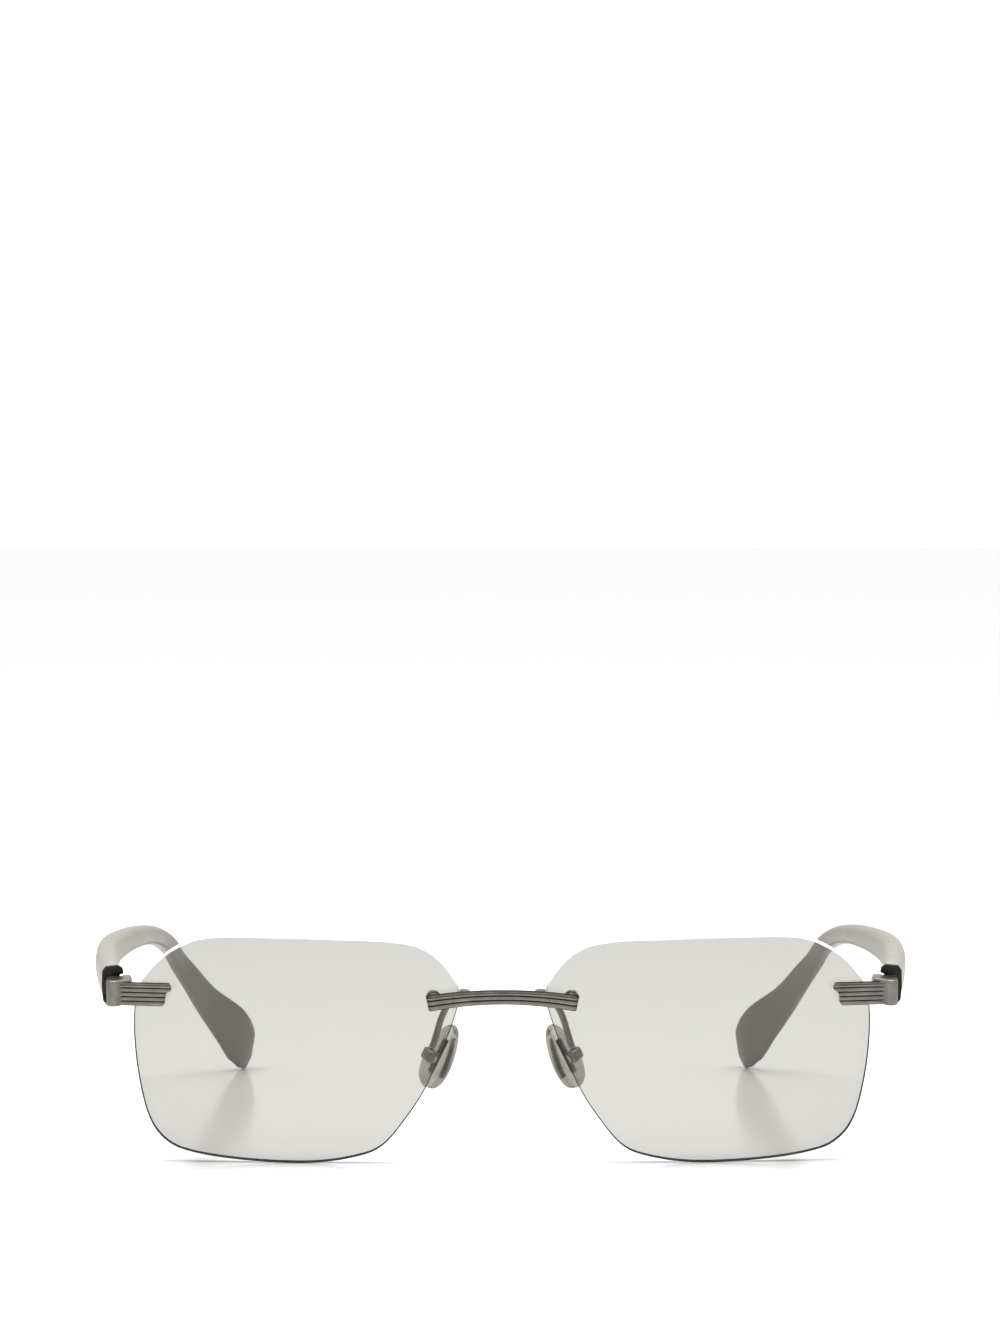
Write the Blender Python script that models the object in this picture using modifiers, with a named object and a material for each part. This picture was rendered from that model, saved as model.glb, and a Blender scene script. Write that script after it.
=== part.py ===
"""Rimless spectacles standing on a table, temples open.

Metres, +Z up.  The glasses look towards -Y and the wearer's left is +X.
The origin is on the table, at the middle of the footprint.

Three kinds of local frame are used:
  front  x across, y through the lenses towards the face, z up the lens plane
  mount  origin on a lens's front face at a drilled hole, y through the lens
  pad    x along the pad's width, y towards the nose, z up the pad
"""
import math

import bmesh
import bpy
from mathutils import Matrix, Vector

MM = 0.001
SIDES = {"right": -1, "left": 1}          # the wearer's sides

# Whole object
FRONT_LEAN = math.radians(8.0)            # the lenses lean forward over the table
DEPTH_TO_MIDDLE = 61.51 * MM              # from the foot of the lens plane to the footprint's middle
TABLE_LIFT = -0.207 * MM
GAP = 0.05 * MM                           # assembly gap between touching pieces
EDGE_BEVEL = 0.2 * MM
SHARP_ANGLE = math.radians(35.0)

# Lenses
LENS_THICKNESS = 2.2 * MM
LENS_RADIUS = 150.0 * MM                  # front curve of the lens
LENS_WRAP = math.radians(3.0)             # each lens turns back towards the temple
LENS_CENTRE = (36.45 * MM, 20.5 * MM)     # across, up
LENS_BLANK_RADIUS = 34.0 * MM
LENS_OUTLINE = [                          # left lens in millimetres: across, up
    (38.0, 40.95), (28.8, 40.7), (20.0, 40.25), (14.2, 38.9), (10.05, 35.5), (7.8, 31.0),
    (8.8, 25.7), (13.2, 14.65), (17.2, 8.1), (21.3, 3.2), (26.0, 1.2), (34.0, 0.05),
    (45.2, 0.3), (54.5, 1.4), (59.3, 3.2), (62.5, 7.4), (64.4, 15.5), (65.1, 24.5),
    (64.3, 30.8), (61.5, 35.3), (57.0, 38.8), (51.0, 40.7)]

# Lens mounts: stud through a plastic bushing, washer and nut behind the lens
MOUNT_PLACE = {"nasal": (11.9 * MM, 29.8 * MM), "temporal": (61.4 * MM, 30.5 * MM)}
LENS_HOLE_RADIUS = 1.0 * MM
STUD_RADIUS = 0.6 * MM
BOSS_RADIUS = 1.15 * MM
BUSHING_FLANGE_RADIUS = 1.35 * MM
BUSHING_FLANGE = 0.3 * MM
WASHER_RADIUS = 1.2 * MM
WASHER_THICKNESS = 0.3 * MM
NUT_RADIUS = 1.25 * MM                    # across the corners
NUT_HEIGHT = 1.2 * MM
STUD_PAST_NUT = 0.25 * MM

# Bridge
BRIDGE_HALF = 13.2 * MM
BRIDGE_THICKNESS = 1.6 * MM
BRIDGE_STAND_OFF = 1.35 * MM              # bar centre in front of the lens face at the mount
BRIDGE_BOW = 0.6 * MM                     # the middle stands forward of the ends
BRIDGE_MID_HEIGHT = 30.72 * MM            # up the lens plane
BRIDGE_ARCH = 1.3 * MM
BRIDGE_DEEP_MIDDLE = 2.35 * MM
BRIDGE_DEEP_END = 2.75 * MM
BRIDGE_REEDS = 3
REED_DEPTH = 0.28 * MM
BAR_CORNER = 0.25 * MM                    # bevel along the back of a reeded bar
END_BEVEL = 1.1 * MM                      # length and depth of the slope at each end
END_SET_BACK = 0.88 * MM

# End pieces
ARM_START = 58.1 * MM
ARM_END = 67.6 * MM
ARM_HEIGHT = 4.0 * MM
ARM_MIDDLE = 30.45 * MM
ARM_THICKNESS = 1.5 * MM
ARM_STAND_OFF = 1.2 * MM
ARM_REEDS = 5
ARM_TURN = math.radians(6.0)               # the arm runs back a little towards the hinge
BLOCK_BOTTOM = 28.4 * MM
BLOCK_TOP = 33.0 * MM
BLOCK_REAR = 5.9 * MM
BLOCK_OUTLINE = [                         # seen from above, in millimetres: across, back
    (65.3, 3.4), (66.9, 2.6), (67.8, 1.75), (68.9, 1.75), (69.5, 2.35), (69.5, 5.9), (65.3, 5.9)]
ARM_STEP_OUTLINE = [                      # stepped nasal end of the arm: across, up
    (57.0, 33.1), (59.1, 33.1), (58.25, 32.05), (58.1, 31.4), (58.95, 30.9), (58.95, 30.65),
    (59.25, 29.65), (59.25, 29.05), (60.1, 27.9), (57.0, 27.9)]

# Hinges
HINGE_PLACE = (66.3 * MM, BLOCK_REAR + 1.05 * MM)      # across, back
KNUCKLE_RADIUS = 1.05 * MM
HINGE_BORE = 0.6 * MM
HINGE_SCREW_RADIUS = 0.52 * MM
HINGE_SCREW_HEAD = 0.9 * MM
HINGE_SCREW_HEAD_HEIGHT = 0.45 * MM
HINGE_SCREW_TAIL = 0.15 * MM              # past the lowest knuckle
SCREW_CHAMFER = 0.2 * MM
SCREW_SLOT = (0.26 * MM, 0.22 * MM)       # width, depth
KNUCKLE_LEVELS = (28.6 * MM, 29.8 * MM, 31.05 * MM, 32.3 * MM)
KNUCKLE_CLEARANCE = 0.06 * MM
END_WEB = (65.5 * MM, 66.9 * MM)          # across: joins the outer knuckles to the block
CAP_WEB = (66.4 * MM, 67.9 * MM)          # across: joins the middle knuckle to the cap
WEB_BITE = 0.2 * MM                       # how far the end web reaches into the block
WEB_DEPTH = 1.0 * MM

# Temples
CAP_THICKNESS = 0.8 * MM
CAP_FRONT = BLOCK_REAR + 0.1 * MM
CAP_OUTLINE = [                           # front cap of a temple: across, up
    (67.5, 28.0), (68.2, 27.5), (69.7, 27.5), (70.4, 28.4), (70.6, 31.0), (70.5, 33.7), (69.9, 34.6),
    (67.7, 34.8), (66.9, 34.3), (66.7, 33.3), (67.5, 33.1)]
TEMPLE_START = (68.95, 31.1)              # across, up the lens plane
TEMPLE_START_SIZE = (3.2, 6.7)            # thickness, height
TEMPLE_STATIONS = [                       # across, back, up, thickness, height in mm, twist in degrees
    (70.10, 12.0, 32.3, 3.7, 6.8, 0.0),
    (71.30, 23.0, 33.5, 4.0, 6.2, 0.0),
    (71.60, 36.0, 34.1, 4.1, 5.6, 0.0),
    (70.80, 50.0, 34.1, 4.0, 4.8, 0.0),
    (69.40, 64.0, 33.7, 3.8, 4.2, 0.0),
    (67.90, 77.0, 32.8, 3.5, 3.8, 0.0),
    (66.30, 88.0, 31.2, 3.2, 3.6, 4.0),
    (64.60, 96.5, 28.6, 3.0, 3.7, 8.0),
    (63.20, 103.0, 24.9, 2.9, 4.0, 13.0),
    (61.20, 108.0, 21.2, 2.8, 4.7, 17.0),
    (58.20, 114.5, 15.8, 2.8, 5.9, 20.0),
    (53.80, 120.5, 10.0, 2.8, 8.4, 20.0),
    (51.80, 124.6, 5.5, 2.6, 8.5, 20.0),
    (51.30, 127.0, 2.35, 2.0, 5.5, 20.0),
    (51.20, 128.0, 0.7, 0.9, 2.0, 20.0)]
TEMPLE_SQUARENESS = 2.6                   # 2 is an ellipse, more is squarer
CORE_RADIUS = 0.6 * MM
CORE_PLAY = 0.12 * MM
CORE_REACH = 0.86                         # of the temple's length

# Nose pads
PAD_PIVOT = (12.6 * MM, 6.3 * MM, 18.5 * MM)
PAD_SPLAY = math.radians(25.0)            # lower ends stand further apart
PAD_TURN = math.radians(38.0)             # contact faces turn back towards the face
PAD_LENGTH = 12.2 * MM
PAD_WIDTH = 7.4 * MM
PAD_THICKNESS = 2.4 * MM
PAD_TAPER = 0.2                           # the lower end is wider
PAD_OFFSET = 2.1 * MM                     # pad middle in front of its pivot
PAD_RISE = 0.1 * MM                       # pad middle above its pivot
PAD_PLATE = (1.5 * MM, 0.5 * MM, 6.6 * MM)
PAD_STEM = (0.9 * MM, 1.6 * MM)           # width, height
PAD_STEM_REAR = 0.75 * MM                 # behind the pivot
PAD_PLAY = 0.08 * MM                      # between the silicone and its core
PAD_BOX = (2.6 * MM, 2.0 * MM, 2.2 * MM)
PAD_BOX_REAR = 1.4 * MM                   # behind the pivot
PAD_BOX_WALL = 0.25 * MM
PAD_SLOT_PLAY = 0.1 * MM
PAD_SCREW_RADIUS = 0.35 * MM
PAD_SCREW_HEAD = (0.65 * MM, 0.35 * MM)   # radius, height
PAD_SCREW_TAIL = 0.1 * MM
PAD_ARM_RADIUS = 0.58 * MM
CUT_PAST = 3 * MM                         # how far a small cutter runs past its piece
PAD_ARM_ROUTE = [                         # left arm, front frame, millimetres
    (5.8, 0.25, 30.5), (5.8, 2.0, 30.5), (6.6, 4.6, 30.3), (8.0, 6.3, 29.4), (9.6, 6.9, 27.6),
    (10.8, 6.9, 25.2), (11.6, 6.6, 22.6)]


def clear_scene():
    for old in list(bpy.data.objects):
        bpy.data.objects.remove(old, do_unlink=True)


def make_collection(name):
    collection = bpy.data.collections.new(name)
    bpy.context.scene.collection.children.link(collection)
    return collection


def make_material(name, colour, roughness, metallic=0.0, transmission=0.0):
    material = bpy.data.materials.new(name)
    material.use_nodes = True
    shader = material.node_tree.nodes["Principled BSDF"]
    shader.inputs["Base Color"].default_value = (*colour, 1.0)
    shader.inputs["Roughness"].default_value = roughness
    shader.inputs["Metallic"].default_value = metallic
    shader.inputs["Transmission Weight"].default_value = transmission
    material.diffuse_color = (*colour, 1.0)
    return material


# ---------------------------------------------------------------- frames

def make_empty(name, matrix, parent=None):
    empty = bpy.data.objects.new(name, None)
    guides.objects.link(empty)
    empty.parent = parent
    empty.matrix_local = matrix
    return empty


def lens_face(across, up):
    """Point on the left lens's front face, in the front frame, and the direction into the lens."""
    rise = up - LENS_CENTRE[1]
    along = across - LENS_CENTRE[0]
    for _ in range(4):
        back = LENS_RADIUS - math.sqrt(LENS_RADIUS ** 2 - along ** 2 - rise ** 2)
        along = (across - LENS_CENTRE[0] + back * math.sin(LENS_WRAP)) / math.cos(LENS_WRAP)
    wrap = Matrix.Rotation(LENS_WRAP, 3, "Z")
    point = wrap @ Vector((along, back, rise)) + Vector((LENS_CENTRE[0], 0.0, LENS_CENTRE[1]))
    inward = wrap @ Vector((-along, LENS_RADIUS - back, -rise)) / LENS_RADIUS
    return point, inward


def mount_matrix(place, side):
    point, inward = lens_face(*MOUNT_PLACE[place])
    point.x *= side
    inward.x *= side
    across = inward.cross(Vector((0.0, 0.0, 1.0))).normalized()
    up = across.cross(inward)
    turn = Matrix((across, inward, up)).transposed().to_4x4()
    return Matrix.Translation(point) @ turn


def hinge_matrix(side):
    return Matrix.Translation((side * HINGE_PLACE[0], HINGE_PLACE[1], KNUCKLE_LEVELS[1]))


def pad_matrix(side):
    """x across the pad, y towards the nose, z up the pad."""
    along = Vector((-side * math.sin(PAD_SPLAY), 0.0, math.cos(PAD_SPLAY)))
    towards = Vector((-side * math.cos(PAD_SPLAY) * math.cos(PAD_TURN), math.sin(PAD_TURN),
                      -math.sin(PAD_SPLAY) * math.cos(PAD_TURN)))
    width = towards.cross(along).normalized()
    towards = along.cross(width)
    turn = Matrix((width, towards, along)).transposed().to_4x4()
    pivot = Vector((side * PAD_PIVOT[0], PAD_PIVOT[1], PAD_PIVOT[2]))
    return Matrix.Translation(pivot) @ turn


# ---------------------------------------------------------------- shape helpers

def smooth_path(points, steps, closed=False):
    """Points of a Catmull-Rom curve through the given points."""
    points = [Vector(point) for point in points]
    count = len(points)
    if closed:
        padded = [points[-1]] + points + points[:2]
        spans = count
    else:
        padded = [2 * points[0] - points[1]] + points + [2 * points[-1] - points[-2]]
        spans = count - 1
    curve = []
    for span in range(spans):
        p0, p1, p2, p3 = padded[span:span + 4]
        for step in range(steps):
            t = step / steps
            curve.append(0.5 * (2 * p1 + (p2 - p0) * t + (2 * p0 - 5 * p1 + 4 * p2 - p3) * t ** 2
                                + (3 * p1 - p0 - 3 * p2 + p3) * t ** 3))
    if not closed:
        curve.append(points[-1].copy())
    return curve


def add_object(name, data, parent, matrix=None, material=None, collection=None):
    thing = bpy.data.objects.new(name, data)
    (collection or parts).objects.link(thing)
    thing.parent = parent
    thing.matrix_local = matrix or Matrix.Identity(4)
    if material:
        data.materials.clear()
        data.materials.append(material)
    return thing


def make_cutter(thing):
    for collection in list(thing.users_collection):
        collection.objects.unlink(thing)
    cutters.objects.link(thing)
    thing.hide_render = True
    thing.display_type = "WIRE"
    return thing


def boolean(thing, other, operation):
    modifier = thing.modifiers.new(operation.lower(), "BOOLEAN")
    modifier.operation = operation
    modifier.solver = "EXACT"
    modifier.object = make_cutter(other)


def bevel_edges(thing):
    modifier = thing.modifiers.new("edge", "BEVEL")
    modifier.width = EDGE_BEVEL
    modifier.segments = 2


def shade(mesh):
    mesh.shade_smooth()
    mesh.set_sharp_from_angle(angle=SHARP_ANGLE)


def finish_mesh(name, bm, smooth=True):
    bmesh.ops.recalc_face_normals(bm, faces=bm.faces)
    mesh = bpy.data.meshes.new(name)
    bm.to_mesh(mesh)
    bm.free()
    if smooth:
        shade(mesh)
    return mesh


def loft_mesh(name, sections):
    """Closed skin over a row of equal-sized rings of points, capped at both ends."""
    bm = bmesh.new()
    rings = [[bm.verts.new(point) for point in section] for section in sections]
    for near, far in zip(rings, rings[1:]):
        for index in range(len(near)):
            after = (index + 1) % len(near)
            bm.faces.new((near[index], near[after], far[after], far[index]))
    bm.faces.new(rings[0])
    bm.faces.new(rings[-1])
    return finish_mesh(name, bm)


def box_mesh(name, low, high):
    bm = bmesh.new()
    bmesh.ops.create_cube(bm, size=1.0)
    size = Vector(high) - Vector(low)
    middle = (Vector(high) + Vector(low)) / 2
    bmesh.ops.scale(bm, vec=size, verts=bm.verts)
    bmesh.ops.translate(bm, vec=middle, verts=bm.verts)
    return finish_mesh(name, bm, smooth=False)


def rod_mesh(name, radius, start, end, segments=16):
    """Cylinder from start to end along its own z axis."""
    bm = bmesh.new()
    bmesh.ops.create_cone(bm, cap_ends=True, segments=segments, radius1=radius, radius2=radius,
                          depth=end - start)
    bmesh.ops.translate(bm, vec=(0.0, 0.0, (start + end) / 2), verts=bm.verts)
    return finish_mesh(name, bm)


def plate_curve(name, outlines, thickness):
    """Flat plate in the local xy plane; outlines after the first are holes."""
    curve = bpy.data.curves.new(name, "CURVE")
    curve.dimensions = "2D"
    curve.fill_mode = "BOTH"
    curve.extrude = thickness / 2
    for outline in outlines:
        spline = curve.splines.new("POLY")
        spline.points.add(len(outline) - 1)
        for point, (x, y) in zip(spline.points, outline):
            point.co = (x, y, 0.0, 1.0)
        spline.use_cyclic_u = True
    return curve


def wire_curve(name, route, radius):
    curve = bpy.data.curves.new(name, "CURVE")
    curve.dimensions = "3D"
    curve.bevel_depth = radius
    curve.bevel_resolution = 2
    curve.use_fill_caps = True
    spline = curve.splines.new("POLY")
    spline.points.add(len(route) - 1)
    for point, place in zip(spline.points, route):
        point.co = (*place, 1.0)
    return curve


def solid_from_curve(name, curve):
    """Welded mesh of a curve, for pieces that are cut or joined."""
    temporary = bpy.data.objects.new(name, curve)
    bpy.context.scene.collection.objects.link(temporary)
    depsgraph = bpy.context.evaluated_depsgraph_get()
    mesh = bpy.data.meshes.new_from_object(temporary.evaluated_get(depsgraph))
    bpy.data.objects.remove(temporary, do_unlink=True)
    bpy.data.curves.remove(curve)
    bm = bmesh.new()
    bm.from_mesh(mesh)
    bmesh.ops.remove_doubles(bm, verts=bm.verts, dist=0.001 * MM)
    bmesh.ops.recalc_face_normals(bm, faces=bm.faces)
    bm.to_mesh(mesh)
    bm.free()
    mesh.name = name
    return mesh


def plate_mesh(name, outline, thickness):
    return solid_from_curve(name, plate_curve(name, [outline], thickness))


def circle(radius, count, phase=0.0):
    return [(radius * math.cos(phase + 2 * math.pi * i / count),
             radius * math.sin(phase + 2 * math.pi * i / count)) for i in range(count)]


def turned(name, profile, parent, matrix, material, steps=14):
    """Profile of (radius, height) turned about the local z axis."""
    mesh = bpy.data.meshes.new(name)
    vertices = [(radius, 0.0, height) for radius, height in profile]
    on_axis = profile[0][0] == 0.0
    last = len(vertices) - 1
    edges = [(index, index + 1) for index in range(last)]
    if not on_axis:
        edges.append((last, 0))
    mesh.from_pydata(vertices, edges, [])
    thing = add_object(name, mesh, parent, matrix, material)
    screw = thing.modifiers.new("turn", "SCREW")
    screw.steps = steps
    screw.render_steps = steps
    screw.use_merge_vertices = True
    screw.merge_threshold = 0.00001
    screw.use_normal_calculate = False
    return thing


BACKWARD = Matrix.Rotation(-math.pi / 2, 4, "X")     # turns local z to face along y
FORWARD = Matrix.Rotation(math.pi / 2, 4, "X")       # turns local z to face against y
SIDEWAYS = Matrix.Rotation(math.pi / 2, 4, "Y")      # turns local z to face along x


# ---------------------------------------------------------------- lenses

def lens_sag(radius, distance):
    return radius - math.sqrt(radius * radius - distance * distance)


def make_lens(label, side):
    rings = 6
    radii = [LENS_BLANK_RADIUS * ring / rings for ring in range(rings + 1)]
    back_radius = LENS_RADIUS - LENS_THICKNESS
    front_face = [(r, -lens_sag(LENS_RADIUS, r)) for r in radii]
    back_face = [(r, -LENS_THICKNESS - lens_sag(back_radius, r)) for r in reversed(radii)]
    centre = (Matrix.Translation((side * LENS_CENTRE[0], 0.0, LENS_CENTRE[1]))
              @ Matrix.Rotation(side * LENS_WRAP, 4, "Z"))
    lens = turned("lens_" + label, front_face + back_face, front, centre @ FORWARD,
                  lens_tint, steps=40)

    outline = [(side * (point.x * MM - LENS_CENTRE[0]), point.y * MM - LENS_CENTRE[1])
               for point in smooth_path([(x, y, 0.0) for x, y in LENS_OUTLINE], 3, closed=True)]
    shape = add_object("lens_shape_" + label, plate_mesh("lens_shape", outline, 30 * MM), front,
                       centre @ FORWARD)
    boolean(lens, shape, "INTERSECT")
    for place in MOUNT_PLACE:
        hole = add_object("lens_hole_" + place + "_" + label,
                          rod_mesh("lens_hole", LENS_HOLE_RADIUS, -3 * MM, 6 * MM),
                          front, mount_matrix(place, side) @ BACKWARD)
        boolean(lens, hole, "DIFFERENCE")


def make_lens_fasteners(place, label, side):
    """Bushing in the lens hole, washer and nut behind the lens, on the local z axis."""
    name = place + "_" + label
    station = make_empty("mount_" + name, mount_matrix(place, side), front)
    flange_start = LENS_THICKNESS + GAP
    flange_end = flange_start + BUSHING_FLANGE
    outer = LENS_HOLE_RADIUS - GAP
    inner = STUD_RADIUS + GAP
    sleeve = [(BUSHING_FLANGE_RADIUS, flange_end), (BUSHING_FLANGE_RADIUS, flange_start),
              (outer, flange_start), (outer, GAP), (inner, GAP), (inner, flange_end)]
    turned("lens_bushing_" + name, sleeve, station, BACKWARD, clear_plastic)
    washer_start = flange_end + GAP
    washer_end = washer_start + WASHER_THICKNESS
    washer = [(WASHER_RADIUS, washer_end), (WASHER_RADIUS, washer_start),
              (inner, washer_start), (inner, washer_end)]
    turned("lens_washer_" + name, washer, station, BACKWARD, steel)
    middle = washer_end + GAP + NUT_HEIGHT / 2
    nut = plate_curve("lens_nut", [circle(NUT_RADIUS, 6), circle(inner, 12)], NUT_HEIGHT)
    add_object("lens_nut_" + name, nut, station,
               Matrix.Translation((0.0, middle, 0.0)) @ BACKWARD, pewter)


STUD_END = (LENS_THICKNESS + BUSHING_FLANGE + WASHER_THICKNESS + NUT_HEIGHT + 3 * GAP
            + STUD_PAST_NUT)


def join_stud(piece, place, label, side, reach):
    """Stud and front boss that a bridge or end piece carries at one mount."""
    for name, radius, start, end in (("stud", STUD_RADIUS, -reach, STUD_END),
                                     ("boss", BOSS_RADIUS, -reach, -GAP)):
        rod = add_object(name + "_" + place + "_" + label, rod_mesh(name, radius, start, end),
                         front, mount_matrix(place, side) @ BACKWARD)
        boolean(piece, rod, "UNION")


# ---------------------------------------------------------------- reeded bars

def reeded_section(height, thickness, reeds, set_back=0.0, samples=5):
    """(forward, up) points of a bar with rounded reeds along its front."""
    half = thickness / 2
    steps = reeds * samples
    points = []
    for step in range(steps + 1):
        along = step / steps
        valley = 1.0 - abs(math.sin(math.pi * reeds * along))
        points.append((half - set_back - REED_DEPTH * valley, (along - 0.5) * height))
    corner = BAR_CORNER
    back = [(-half + corner, height / 2), (-half, height / 2 - corner),
            (-half, corner - height / 2), (-half + corner, -height / 2)]
    return points + back


def bar_ring(centre, across, section):
    """Places a section of a bar whose run points along across."""
    up = Vector((0.0, 0.0, 1.0))
    up = (up - across * up.dot(across)).normalized()
    forward = across.cross(up).normalized() * -1.0
    if forward.y > 0:
        forward = -forward
    return [centre + forward * ahead + up * rise for ahead, rise in section]


def bridge_centre(share):
    """Middle of the bridge bar at a share of its half length, from -1 to 1."""
    across, up = MOUNT_PLACE["nasal"]
    back = lens_face(across, up)[0].y - BRIDGE_STAND_OFF
    at_mount = (across / BRIDGE_HALF) ** 2
    return Vector((share * BRIDGE_HALF,
                   back - BRIDGE_BOW * (at_mount - share * share),
                   BRIDGE_MID_HEIGHT - BRIDGE_ARCH * share * share))


def make_bridge():
    bevel_share = 1.0 - END_BEVEL / BRIDGE_HALF
    inner = [-bevel_share + 2 * bevel_share * step / 16 for step in range(17)]
    shares = [-1.0] + inner + [1.0]
    rings = []
    for share in shares:
        centre = bridge_centre(share)
        run = (bridge_centre(share + 0.01) - bridge_centre(share - 0.01)).normalized()
        height = BRIDGE_DEEP_MIDDLE + (BRIDGE_DEEP_END - BRIDGE_DEEP_MIDDLE) * share * share
        set_back = END_SET_BACK if abs(share) == 1.0 else 0.0
        rings.append(bar_ring(centre, run, reeded_section(height, BRIDGE_THICKNESS, BRIDGE_REEDS,
                                                          set_back)))
    bridge = add_object("bridge", loft_mesh("bridge", rings), front, material=pewter)
    for label, side in SIDES.items():
        join_stud(bridge, "nasal", label, side, BRIDGE_STAND_OFF)


# ---------------------------------------------------------------- end pieces and hinges

def arm_centre(across, side):
    """Middle of the end piece's arm, which lies along the lens face at its mount."""
    mount, inward = lens_face(*MOUNT_PLACE["temporal"])
    start = mount - inward * ARM_STAND_OFF
    back = start.y + (across - start.x) * math.tan(ARM_TURN)
    return Vector((side * across, back, ARM_MIDDLE))


def knuckle(name, low, high, side, web):
    """Hinge knuckle with a web box joining it to its own leaf."""
    axis = (side * HINGE_PLACE[0], HINGE_PLACE[1], 0.0)
    rod = add_object(name, rod_mesh(name, KNUCKLE_RADIUS, low, high, segments=20), front,
                     Matrix.Translation(axis))
    (x0, y0), (x1, y1) = web
    left, right = sorted((side * x0, side * x1))
    box = add_object(name + "_web", box_mesh(name + "_web", (left, y0, low), (right, y1, high)),
                     front)
    return rod, box


def hinge_bore(name, side):
    axis = (side * HINGE_PLACE[0], HINGE_PLACE[1], 0.0)
    low, high = KNUCKLE_LEVELS[0] - CUT_PAST, KNUCKLE_LEVELS[3] + CUT_PAST
    return add_object(name, rod_mesh(name, HINGE_BORE, low, high, segments=16), front,
                      Matrix.Translation(axis))


def upright_prism(name, outline, bottom, top, side):
    """Plan outline in millimetres extruded up the front frame's z axis."""
    flat = [(side * x * MM, y * MM) for x, y in outline]
    mesh = plate_mesh(name, flat, top - bottom)
    mesh.transform(Matrix.Translation((0.0, 0.0, (top + bottom) / 2)))
    return mesh


def facing_prism(name, outline, near, far, side):
    """Front-view outline in millimetres extruded through the front frame's y axis."""
    flat = [(side * x * MM, y * MM) for x, y in outline]
    mesh = plate_mesh(name, flat, far - near)
    mesh.transform(Matrix.Translation((0.0, (near + far) / 2, 0.0)) @ FORWARD)
    return mesh


def make_end_piece(label, side):
    steps = 6
    run = (arm_centre(ARM_END, side) - arm_centre(ARM_START, side)).normalized()
    section = reeded_section(ARM_HEIGHT, ARM_THICKNESS, ARM_REEDS)
    rings = [bar_ring(arm_centre(ARM_START + (ARM_END - ARM_START) * step / steps, side), run,
                      section) for step in range(steps + 1)]
    piece = add_object("end_piece_" + label, loft_mesh("end_piece", rings), front,
                       material=pewter)
    step_cut = add_object("arm_step_" + label,
                          facing_prism("arm_step", ARM_STEP_OUTLINE, 0.0, 10 * MM, side), front)
    boolean(piece, step_cut, "DIFFERENCE")
    block = add_object("block_" + label,
                       upright_prism("block", BLOCK_OUTLINE, BLOCK_BOTTOM, BLOCK_TOP, side), front)
    bevel_edges(block)
    boolean(piece, block, "UNION")
    web = ((END_WEB[0], BLOCK_REAR - WEB_BITE), (END_WEB[1], BLOCK_REAR - WEB_BITE + WEB_DEPTH))
    spans = ((KNUCKLE_LEVELS[0], KNUCKLE_LEVELS[1] - KNUCKLE_CLEARANCE, "lower"),
             (KNUCKLE_LEVELS[2] + KNUCKLE_CLEARANCE, KNUCKLE_LEVELS[3], "upper"))
    for low, high, level in spans:
        for other in knuckle("knuckle_" + level + "_" + label, low, high, side, web):
            boolean(piece, other, "UNION")
    boolean(piece, hinge_bore("end_bore_" + label, side), "DIFFERENCE")
    join_stud(piece, "temporal", label, side, ARM_STAND_OFF)


def make_hinge_screw(label, side):
    head_base = KNUCKLE_LEVELS[3] + GAP
    head_top = head_base + HINGE_SCREW_HEAD_HEIGHT
    tail = KNUCKLE_LEVELS[0] - HINGE_SCREW_TAIL
    profile = [(0.0, head_top), (HINGE_SCREW_HEAD - SCREW_CHAMFER, head_top),
               (HINGE_SCREW_HEAD, head_top - SCREW_CHAMFER), (HINGE_SCREW_HEAD, head_base),
               (HINGE_SCREW_RADIUS, head_base), (HINGE_SCREW_RADIUS, tail), (0.0, tail)]
    axis = Matrix.Translation((side * HINGE_PLACE[0], HINGE_PLACE[1], 0.0))
    screw = turned("hinge_screw_" + label, profile, front, axis, steel)
    width, depth = SCREW_SLOT
    slot = add_object("hinge_slot_" + label,
                      box_mesh("hinge_slot", (-CUT_PAST, -width / 2, head_top - depth),
                               (CUT_PAST, width / 2, head_top + depth)), front, axis)
    boolean(screw, slot, "DIFFERENCE")


# ---------------------------------------------------------------- temples

def temple_stations(side):
    """Smoothed centres, and (thickness, height, twist), along one temple in the table frame."""
    across, up = TEMPLE_START
    behind_cap = CAP_FRONT + CAP_THICKNESS + GAP
    start = Matrix.Rotation(FRONT_LEAN, 3, "X") @ Vector((side * across * MM, behind_cap, up * MM))
    rest = [(side * x * MM, y * MM, z * MM) for x, y, z, *_ in TEMPLE_STATIONS]
    shapes = [(*TEMPLE_START_SIZE, 0.0)] + [station[3:] for station in TEMPLE_STATIONS]
    shapes = smooth_path([(thick * MM, height * MM, side * math.radians(twist))
                          for thick, height, twist in shapes], 2)
    return smooth_path([start] + rest, 2), shapes


def temple_ring(centre, run, shape, count=16):
    """Rounded section across the temple's run, its thickness level but for the twist."""
    thickness, height, twist = shape
    turn = Matrix.Rotation(-twist, 3, run)
    level = run.cross(Vector((0.0, 0.0, 1.0))).normalized()
    rise = turn @ level.cross(run).normalized()
    level = turn @ level
    ring = []
    for index in range(count):
        angle = 2 * math.pi * index / count
        cosine, sine = math.cos(angle), math.sin(angle)
        power = 2.0 / TEMPLE_SQUARENESS
        ring.append(centre + level * math.copysign(abs(cosine) ** power, cosine) * thickness / 2
                    + rise * math.copysign(abs(sine) ** power, sine) * height / 2)
    return ring


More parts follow.
